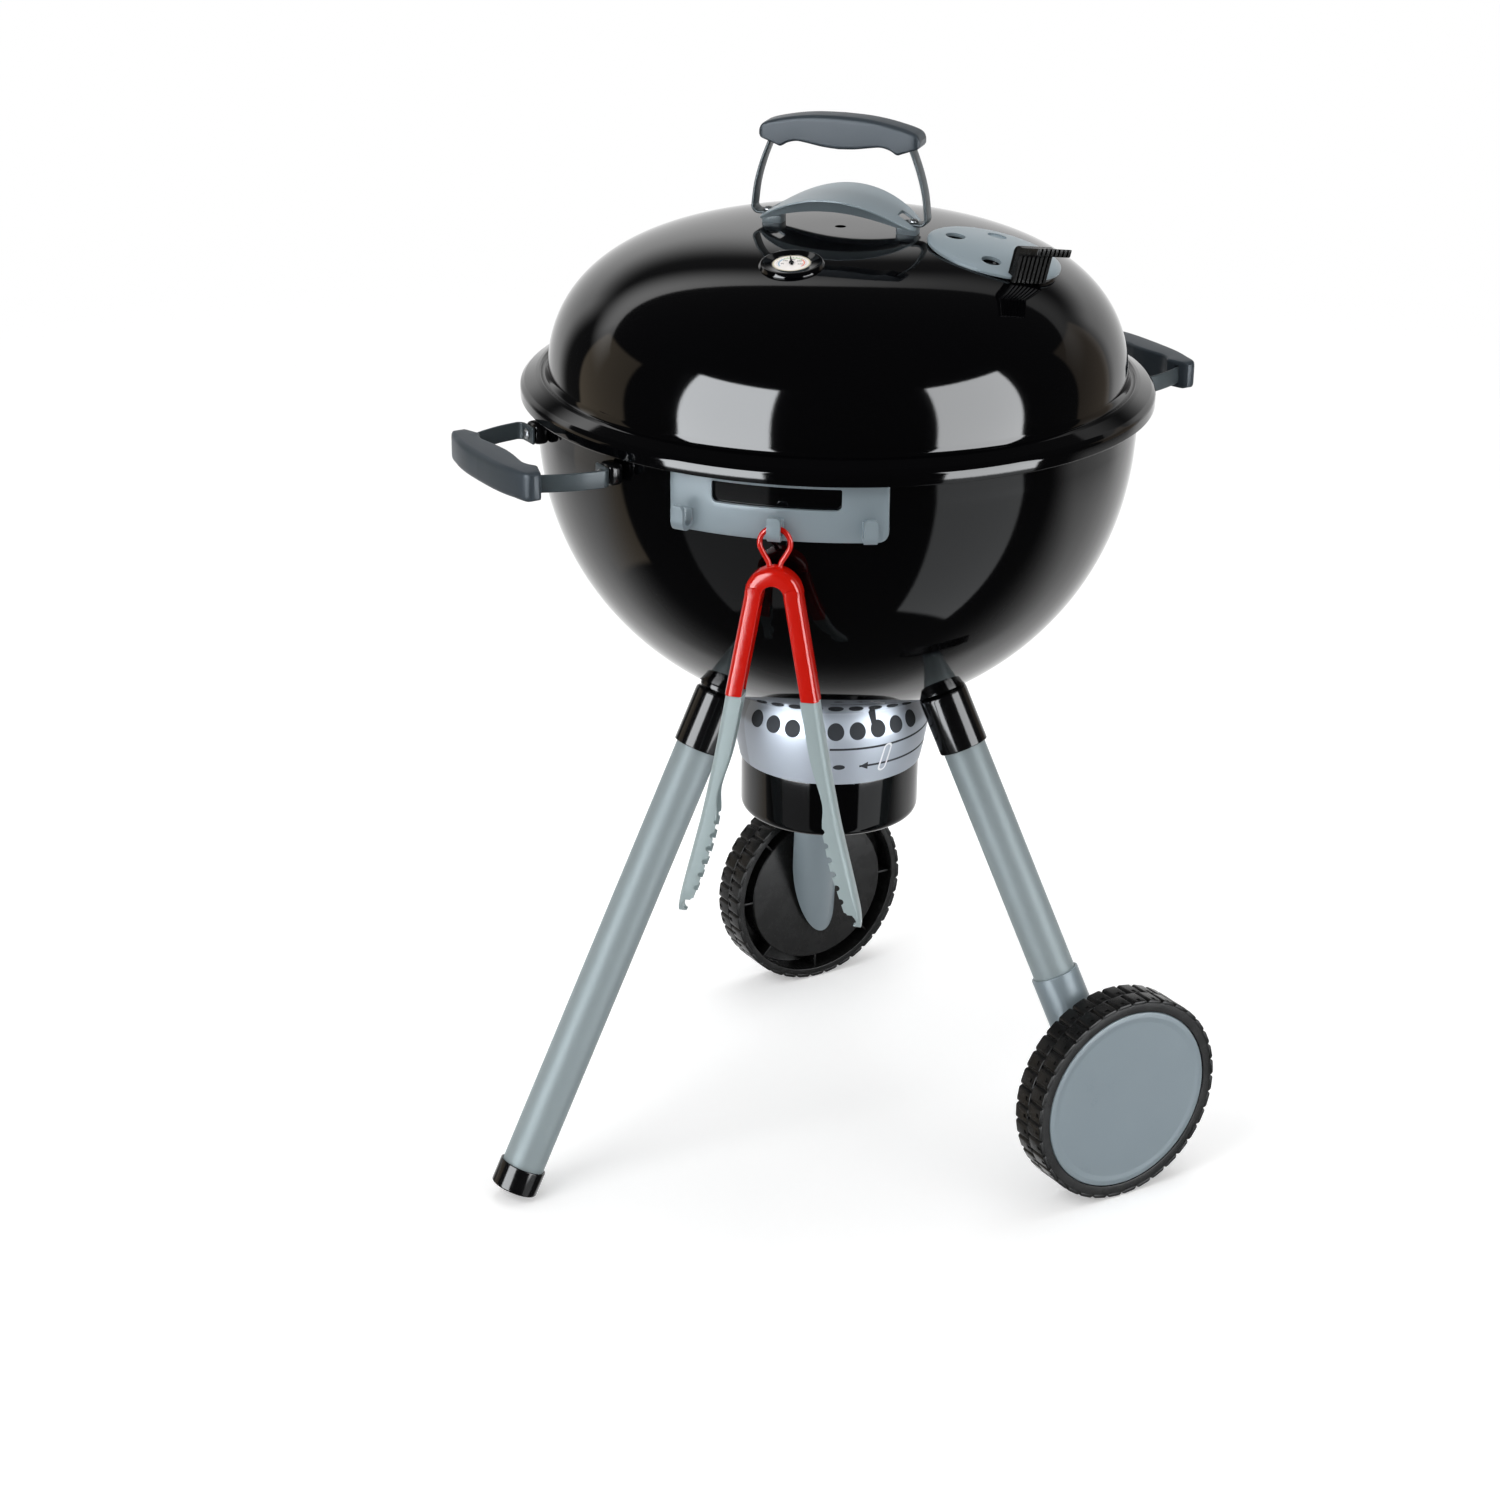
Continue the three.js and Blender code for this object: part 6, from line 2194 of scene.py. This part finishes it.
@dataclass
class ToolRack:
    """The plate on the bowl's front with its slot and three hooks, in millimetres."""

    azimuth: float = -43.3
    low: float = 476.0
    high: float = 511.6
    half_width: float = 65.3
    slot: tuple[float, float, float] = (38.9, 495.8, 509)
    reach: float = 190.0
    hook_radius: float = 197.5
    hook_height: float = 486.0
    hook_turns: tuple[float, ...] = (-16.5, 0.4, 16.5)

    def hook_place(self, turn: float) -> Matrix:
        """A hook's frame: X along the bowl, Y up and Z outwards.

        Args:
            turn: The turn round the bowl in degrees.

        Returns:
            The frame.
        """
        azimuth = self.azimuth + turn
        at = outward(azimuth) * self.hook_radius + UP * self.hook_height
        return frame_of(at, across(azimuth), outward(azimuth))

    def hook(self, turn: float) -> Object:
        """One hook, a softened strip bent up at its front.

        Args:
            turn: The turn round the bowl in degrees.

        Returns:
            The piece.
        """
        path = [(-5.5, 4), *arc(0, -1.4, 5.5, 180, 360, 16), (5.5, 3.5), (6.0, 8.0)]
        made = plated("hook", band(path, 3.0), 8.6)
        placed(made, turned_by(-90, "Y"))
        front = rounded([(-4.0, -9, 2.2), (4.0, -9, 2.2), (4.0, 8.2, 3.7), (-4.0, 8.2, 3.7)], steps=10)
        cut(made, plated("front", front, 40), common=True)
        softened(made, 0.9, 4, 50)
        return placed(made, self.hook_place(turn))

    def plate(self) -> Object:
        """The curved plate with its slot.

        Returns:
            The piece.
        """
        ring = wall_ring(self.low - 2, self.high, 0.3, 2.5)
        stand = frame_of(Vector(), across(self.azimuth), outward(self.azimuth))
        w, low, high = self.half_width, self.low, self.high
        outline = rounded([(w, low, 6.5), (w, high, 2), (-w, high, 2), (-w, low, 3)], steps=8)
        face = placed(plated("face", outline, self.reach), stand @ moved_by(0, 0, self.reach))
        w, low, high = self.slot
        outline = rounded([(w, low, 4), (w, high, 1.5), (-w, high, 1.5), (-w, low, 4)], steps=8)
        slot = placed(plated("slot", outline, self.reach), stand @ moved_by(0, 0, self.reach))
        cut(ring, face, common=True)
        cut(ring, slot)
        return softened(ring, 0.7, 3, 60)

    def build(self, shop: Workshop) -> None:
        """Model and dress the rack.

        Args:
            shop: The workshop that dresses it.
        """
        hooks = [self.hook(turn) for turn in self.hook_turns]
        made = joined("tool_rack", [self.plate(), *hooks])
        shop.fit(made, Finish.LIGHT, Body.KETTLE, "tool_rack")


@dataclass
class Tongs:
    """The tongs on the middle hook, in millimetres in that hook's frame."""

    place: Matrix
    eye: float = -9.45
    loop_radius: float = 9.2
    pivot: float = -40.95
    crown_radius: float = 17.3
    limb: float = 10.6
    pivot_out: float = 12.0
    depth: float = 15.0
    arm_length: float = 64.0
    arm_spread: float = 11.2
    blade_length: float = 147.0
    blade_reach: float = 56.5
    wall: float = 1.6

    def loop(self) -> Object:
        """The wire loop that hangs on the hook, drawn in to the crown.

        Returns:
            The piece.
        """
        ring = arc(0, self.eye, self.loop_radius, -22, 202, 28)
        drop = [(6.6, self.eye - 7.0), (4.0, self.eye - 11.4), (3.1, self.eye - 14.6)]
        left = eased([*ring, *[(-x, y) for x, y in drop]], 2)
        right = eased([ring[0], *drop], 6)
        whole = [*reversed(right[1:]), *left]
        return wire("loop", [(x, y, 0) for x, y in whole], 1.62)

    def crown(self) -> Object:
        """The bow that joins the two arms, round on its outer side.

        Returns:
            The piece.
        """
        section = self.section(self.crown_radius - self.limb, self.pivot)
        bow = traced("bow", [*section, section[0]])
        bpy.ops.mesh.spin(steps=40, angle=math.pi, center=(0, self.pivot * MM, 0), axis=(0, 0, -1))
        bpy.ops.mesh.select_all(action="SELECT")
        bpy.ops.mesh.remove_doubles(threshold=WELD)
        bpy.ops.mesh.fill_holes(sides=0)
        closed_up()
        for side in (-1, 1):
            room = self.limb / 2 + 0.14
            seat = turned("seat", [(0, -20), (room, -20), (room, 20), (0, 20)], 64)
            cut(bow, placed(seat, moved_by(side * self.pivot_out, self.pivot, 0)))
        low, high = self.pivot + 12, self.eye - 14
        outline = rounded([(-4.6, low, 0), (4.6, low, 0), (4.1, high, 1.5), (0, self.eye - 13.2, 1.5),
                           (-4.1, high, 1.5)])
        neck = softened(plated("neck", outline, 4.4), 1.2, 4)
        made = joined("tongs_crown", [smoothed(bow, 35), neck, self.loop()])
        return placed(made, self.place)

    def section(self, near: float, height: float) -> list[Corner]:
        """The section of the crown and the arms, rounder on its outer side, at a height.

        Args:
            near: Its inner side.
            height: The height.

        Returns:
            The corners.
        """
        far, half = near + self.limb, self.depth / 2
        sharp, soft = 1.4, 6.4
        corners = [(near, -half, sharp), (far, -half, soft), (far, half, soft), (near, half, sharp)]
        outline = rounded(corners, steps=7)
        return [(x, height, z) for x, z in outline]

    def arm(self) -> Object:
        """The right red arm: a round knuckle and a channel, round on its outer side.

        Returns:
            The piece.
        """
        foot = self.pivot - self.arm_length
        near, far = self.pivot_out - self.limb / 2, self.pivot_out + self.limb / 2
        top = self.pivot + self.limb / 2 + 1
        made = faced("arm", self.section(near, top))
        push((0, self.pivot - top, 0))
        push((self.arm_spread, -self.arm_length, 0))
        closed_up()
        knuckle = arc(self.pivot_out, self.pivot, self.limb / 2, 180, 0, 24)
        left, right, above = near - 2, far + 2, top + 2
        corner = [*knuckle, (right, self.pivot), (right, above), (left, above), (left, self.pivot)]
        cut(made, plated("corner", corner, self.depth + 4))
        lean = self.arm_spread / self.arm_length
        high, low = self.pivot - 9, foot - 3
        back = [(far - self.wall * 1.9 + lean * (self.pivot - y), y) for y in (high, low)]
        outline = rounded([(*back[0], 3), (*back[1], 0), (near - 12, low, 0), (near - 12, high, 0)])
        room = plated("room", outline, self.depth - 2 * self.wall)
        cut(made, softened(room, 2.2, 3, 60))
        return smoothed(made, 38)

    def blade_sides(self) -> tuple[list[Point], list[Point]]:
        """The outer and inner outlines of the right blade, from its top down.

        Returns:
            The two outlines.
        """
        top = self.pivot - self.arm_length - 0.3
        outer = [(0, 0.495), (0.25, 0.605), (0.5, 0.73), (0.65, 0.82), (0.8, 0.915), (0.92, 0.985),
                 (0.985, 1.0), (1.0, 0.98)]
        inner = [(0, 0.31), (0.25, 0.43), (0.4, 0.545), (0.46, 0.575), (0.55, 0.575), (0.7, 0.65),
                 (0.82, 0.745), (0.95, 0.86), (0.998, 0.945)]
        place = [[(out * self.blade_reach, top - down * self.blade_length) for down, out in side]
                 for side in (outer, inner)]
        return eased(place[0], 5), eased(place[1], 5)

    def blade(self) -> Object:
        """The right grey blade: a channel with scalloped edges and a rounded tip.

        Returns:
            The piece.
        """
        outer, inner = self.blade_sides()
        made = plated("blade", [*outer, *reversed(inner)], self.depth - 0.4)
        rim = {(round(x, 2), round(y, 2)) for x, y in outer}

        def outside(p: Vector) -> bool:
            """Whether a point lies on the outer side."""
            return (round(p.x, 2), round(p.y, 2)) in rim

        bevelled_edges(made, lambda a, b: outside(a) and outside(b) and a.z * b.z > 0, 4.6, 6)
        top, tip = outer[0][1], outer[-1][1]
        leaf = rounded([(-7.1, top + 9, 0), (7.1, top + 9, 0), (7.1, tip + 34, 20), (5.8, tip + 9, 8),
                        (0, tip - 1.5, 5), (-5.8, tip + 9, 8), (-7.1, tip + 34, 20)], steps=8)
        plan = placed(plated("plan", leaf, 160), turned_by(90, "Y"))
        cut(made, plan, common=True)
        hollow = [(x - self.wall * 1.5, y) for x, y in outer[1:-6]]
        last = hollow[-1]
        room = [*hollow, (last[0] - 6, last[1] - 3), (-5, last[1] - 3), (-5, hollow[0][1])]
        made = cut(made, softened(plated("room", room, self.depth - 2 * self.wall), 2.0, 3, 60))
        for i in range(7):
            share = i / 6
            down, out = 0.56 + 0.37 * share, 0.577 + 0.262 * share
            tooth = turned("tooth", [(0, -9), (2.1, -9), (2.1, 9), (0, 9)], 20)
            at = moved_by(out * self.blade_reach - 0.7, top - down * self.blade_length, 0)
            cut(made, placed(tooth, at))
        return smoothed(made, 38)

    def root(self) -> Object:
        """The blade's narrow root inside the red arm.

        Returns:
            The piece.
        """
        top = self.pivot - self.arm_length - 0.3
        far = self.pivot_out + self.limb / 2 + self.arm_spread - self.wall * 2.2
        near, lean = far - 5.3, self.arm_spread / self.arm_length * 14
        outline = [(near, top - 4), (far, top - 4), (far - lean, top + 14), (near - lean, top + 14)]
        return softened(plated("root", outline, self.depth - 2 * self.wall - 0.6), 1.0, 3)

    def build(self, shop: Workshop) -> None:
        """Model and dress the tongs.

        Args:
            shop: The workshop that dresses it.
        """
        shop.fit(self.crown(), Finish.RED, Body.TONGS, "tongs_crown")
        arm = self.arm()
        blade = joined("blade", [self.blade(), self.root()])
        for name, body in (("right", Body.TONGS_RIGHT), ("left", Body.TONGS_LEFT)):
            for part, source, finish in (("arm", arm, Finish.RED), ("blade", blade, Finish.PALE)):
                made = copied(source, f"tongs_{part}_{name}")
                if name == "left":
                    smoothed(flipped(made, 0), 38)
                shop.fit(placed(made, self.place), finish, body, f"tongs_{part}_{name}")
        for source in (arm, blade):
            bpy.data.objects.remove(source)


# Studio


@dataclass(frozen=True)
class Reflected:
    """A bright or dim surface of the studio that shows in the polished finishes.

    Its sides are azimuths from the middle of the backdrop, and its edges are heights, all in degrees.
    """

    left: float
    right: float
    low: float
    high: float
    colour: tuple[float, float, float]
    strength: float
    soft: float = 1.5

    def share(self, nodes: Nodes, azimuth: Field, height: Field) -> Field:
        """One inside the surface and zero outside, with soft edges.

        Args:
            nodes: The helper of the nodes.
            azimuth: The ray's azimuth.
            height: The ray's height.

        Returns:
            The mask, from 0 to 1.
        """
        edges = (azimuth - self.left, azimuth * -1 + self.right, height - self.low, height * -1 + self.high)
        share = None
        for edge in edges:
            here = nodes.ramp(edge, (-self.soft, self.soft), eased=True)
            share = here if share is None else share * here
        return share


@dataclass
class Studio:
    """The floor, the soft light and the camera at the photograph's angle."""

    camera_place: tuple[float, float, float] = (1.72233, -1.11279, 1.11277)
    camera_turn: tuple[float, float, float] = (67.551, -0.559, 58.838)
    lens: float = 80.598
    floor_level: float = -0.0005
    floor_radius: float = 2.6
    aim_height: float = 0.35
    floor_glow: float = 0.3
    sky: float = 0.55
    back: float = 147.0
    surfaces: tuple[Reflected, ...] = (
        Reflected(-47, 43, -60, 21, (1.0, 1.0, 1.0), 0.97, 7),
        Reflected(117, 155, -19, 34, (0.94, 0.97, 1.0), 24.0, 0.8),
        Reflected(-141, -104, -19, 34.5, (0.96, 0.98, 1.0), 18.0, 0.8),
        Reflected(-141, -104, -60, -19, (0.95, 0.98, 1.0), 1.7, 0.8),
        Reflected(117, 155, -60, -19, (0.95, 0.98, 1.0), 0.5, 0.8),
        Reflected(61, 90, -40, 24, (1.0, 0.82, 0.6), 0.75, 1.2),
        Reflected(-73, -48, -14, 26, (1.0, 0.8, 0.6), 0.3, 1.2),
    )

    def floor(self) -> None:
        """A pale round floor that fades out into the white background."""
        deselect()
        bpy.ops.mesh.primitive_circle_add(vertices=96, radius=self.floor_radius, fill_type="NGON",
                                          location=(0, 0, self.floor_level))
        ground = started("floor")
        material = bpy.data.materials.new("studio_floor")
        material.use_nodes = True
        nodes = Nodes(material.node_tree)
        shader = material.node_tree.nodes["Principled BSDF"]
        shader.inputs["Roughness"].default_value = 0.75
        shader.inputs["Specular IOR Level"].default_value = 0.0
        place = nodes.add("TexCoord").outputs["Object"]
        shade = nodes.noise(place, 3.0, 2.0) * 0.02 + 0.89
        pale = nodes.add("CombineColor", {0: shade, 1: shade, 2: shade}).outputs[0]
        nodes.put(shader.inputs["Base Color"], pale)
        shader.inputs["Emission Color"].default_value = (1, 1, 1, 1)
        nodes.put(shader.inputs["Emission Strength"], self.seen(nodes) * self.floor_glow)
        away = nodes.add("VectorMath", {0: place}, operation="LENGTH").outputs["Value"]
        fade = nodes.ramp(away, (1.0, 2.4), (1.0, 0.0), eased=True)
        nodes.put(shader.inputs["Alpha"], fade * self.lit_part(nodes, place))
        ground.data.materials.append(material)
        ground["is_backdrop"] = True

    def lit_part(self, nodes: Nodes, place: Socket) -> Field:
        """One where the floor shows, which in reflections ends in front of the grill.

        Args:
            nodes: The helper of the nodes.
            place: The place on the floor.

        Returns:
            The mask, from 0 to 1.
        """
        x, y = nodes.axes(place)[:2]
        turn = math.radians(self.back)
        near = nodes.ramp(x * math.cos(turn) + y * math.sin(turn), (-0.16, 0.24), eased=True)
        glossy = Field(nodes, nodes.add("LightPath").outputs["Is Glossy Ray"])
        return glossy * -1 + 1.0 + glossy * near

    def seen(self, nodes: Nodes) -> Field:
        """One for rays from the camera and for those that metal and glass send on, else zero.

        Args:
            nodes: The helper of the nodes.

        Returns:
            The mask, from 0 to 1.
        """
        path = nodes.add("LightPath").outputs
        seen = Field(nodes, path["Is Camera Ray"]).either(path["Is Glossy Ray"])
        return seen.either(path["Is Transmission Ray"])

    def room(self, nodes: Nodes) -> Socket:
        """The studio as the polished finishes show it: white behind, dark around, with soft windows.

        Args:
            nodes: The helper of the nodes.

        Returns:
            The colour.
        """
        x, y, z = nodes.axes(nodes.add("TexCoord").outputs["Generated"])
        turn = math.radians(self.back)
        ahead = x * math.cos(turn) + y * math.sin(turn)
        aside = y * math.cos(turn) - x * math.sin(turn)
        azimuth = aside.do("ARCTAN2", ahead) * (180 / math.pi)
        height = z.do("ARCSINE") * (180 / math.pi)
        rim = self.top_rim(nodes, ahead * 1.035 - z, azimuth) + 0.05
        grey = nodes.add("CombineXYZ", {0: rim, 1: rim, 2: rim}).outputs[0]
        for surface in self.surfaces:
            share = surface.share(nodes, azimuth, height)
            shine = tuple(channel * surface.strength for channel in surface.colour)
            lit = nodes.add("VectorMath", {0: shine, "Scale": share}, operation="SCALE").outputs[0]
            grey = nodes.add("VectorMath", {0: grey, 1: lit}, operation="ADD").outputs[0]
        return grey

    def top_rim(self, nodes: Nodes, below: Field, azimuth: Field) -> Field:
        """The bright upper rim of the backdrop, from the height below its straight edge.

        Args:
            nodes: The helper of the nodes.
            below: The height below the edge.
            azimuth: The azimuth in degrees.

        Returns:
            How bright the rim is.
        """
        edge = nodes.ramp(below, (-0.008, 0.012), eased=True)
        fade = nodes.ramp(below, (0.05, 0.34), (1.0, 0.0), eased=True)
        along = nodes.ramp(azimuth, (-20.0, 46.0), (0.4, 2.2), eased=True)
        end = nodes.ramp(azimuth.size(), (56.0, 74.0), (1.0, 0.0))
        return edge * fade * along * end

    def world(self) -> None:
        """A plain soft world, white to the camera, whose room shows in reflections."""
        world = bpy.data.worlds.new("studio")
        world.use_nodes = True
        bpy.context.scene.world = world
        nodes = Nodes(world.node_tree)
        path = nodes.add("LightPath").outputs
        white = Field(nodes, path["Is Camera Ray"]).either(path["Is Transmission Ray"])
        plain = white * (1 - self.sky) + self.sky
        plain = nodes.add("CombineXYZ", {0: plain, 1: plain, 2: plain}).outputs[0]
        sides = {"Factor": path["Is Glossy Ray"], "A": plain, "B": self.room(nodes)}
        shown = nodes.add("Mix", sides, data_type="VECTOR")
        background = world.node_tree.nodes["Background"]
        nodes.put(background.inputs["Color"], shown.outputs[1])
        background.inputs["Strength"].default_value = 1.0

    def lamp(self, name: str, at: Sequence[float], size: tuple[float, float], power: float) -> None:
        """A soft rectangular lamp that faces the grill and doesn't show in its finishes.

        Args:
            name: Its name.
            at: Its place in metres.
            size: Its width and height.
            power: Its power in watts.
        """
        deselect()
        bpy.ops.object.light_add(type="AREA", location=at)
        lamp = bpy.context.object
        lamp.name = name
        lamp.data.shape = "RECTANGLE"
        lamp.data.size, lamp.data.size_y = size
        lamp.data.energy = power
        lamp.visible_glossy = False
        aim = UP * self.aim_height - Vector(at)
        lamp.rotation_euler = aim.to_track_quat("-Z", "Y").to_euler()

    def camera(self) -> None:
        """The camera at the photograph's place and angle."""
        data = bpy.data.cameras.new("camera")
        data.sensor_width = 36.0
        data.lens = self.lens
        camera = bpy.data.objects.new("camera", data)
        bpy.context.scene.collection.objects.link(camera)
        camera.location = self.camera_place
        camera.rotation_euler = [math.radians(a) for a in self.camera_turn]
        bpy.context.scene.camera = camera

    def build(self) -> None:
        """Set up the whole studio."""
        bpy.context.scene.view_settings.view_transform = "Standard"
        self.floor()
        self.world()
        self.camera()
        self.lamp("key_light", at=(0.6, -2.6, 2.6), size=(1.8, 1.8), power=42)
        self.lamp("top_light", at=(-0.4, 0.5, 3.0), size=(2.4, 2.4), power=30)
        self.lamp("fill_light", at=(3.0, 1.2, 1.6), size=(1.6, 1.6), power=14)


def grill_parts() -> list[object]:
    """The sub-assemblies in the order in which they are built.

    Returns:
        The sub-assemblies.
    """
    lid_frame = frame_of(Vector((0, 0, LID_TOP)), outward(40), outward(40).cross(UP))
    sides = {}
    for where, side in (("rear", 1), ("front", -1)):
        sides[where] = frame_of(Vector((0, side * CURVES.bowl_radius, 501)), Vector((-side, 0, 0)), -UP)
    rack = ToolRack()
    return [
        Lid(),
        Bowl(),
        Grate("charcoal_grate", Body.CHARCOAL, Finish.DARK_GRATE, height=384, ring_radius=143.8, bars=9),
        Grate("cooking_grate", Body.COOKING, Finish.GRATE, height=488, ring_radius=182.3, bars=13),
        Embers(),
        AshCatcher(),
        Leg("foot", azimuth=-90, top_radius=84.3),
        Leg("right", azimuth=30, top_radius=80.2, side=1),
        Leg("left", azimuth=150, top_radius=80.2, side=-1),
        Wheel("right", 1, Body.WHEEL_RIGHT),
        Wheel("left", -1, Body.WHEEL_LEFT),
        Handle("lid", lid_frame, reach=49.6, body=Body.LID, lugs=False),
        Handle("side_rear", sides["rear"], reach=44.9, body=Body.KETTLE, lugs=True),
        Handle("side_front", sides["front"], reach=44.9, body=Body.KETTLE, lugs=True),
        HeatShield(lid_frame),
        Thermometer(),
        Damper(),
        rack,
        Tongs(rack.hook_place(rack.hook_turns[1])),
    ]


def corners() -> list[list[float]]:
    """The lowest and highest corner of what is shown."""
    return [list(corner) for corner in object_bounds()]


def main() -> None:
    """Build and dress the grill and its studio."""
    logging.basicConfig(level=logging.INFO, format="%(message)s")
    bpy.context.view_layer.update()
    Studio().build()
    shop = Workshop()
    for part in grill_parts():
        part.build(shop)
    deselect()


if __name__ == "__main__":
    main()
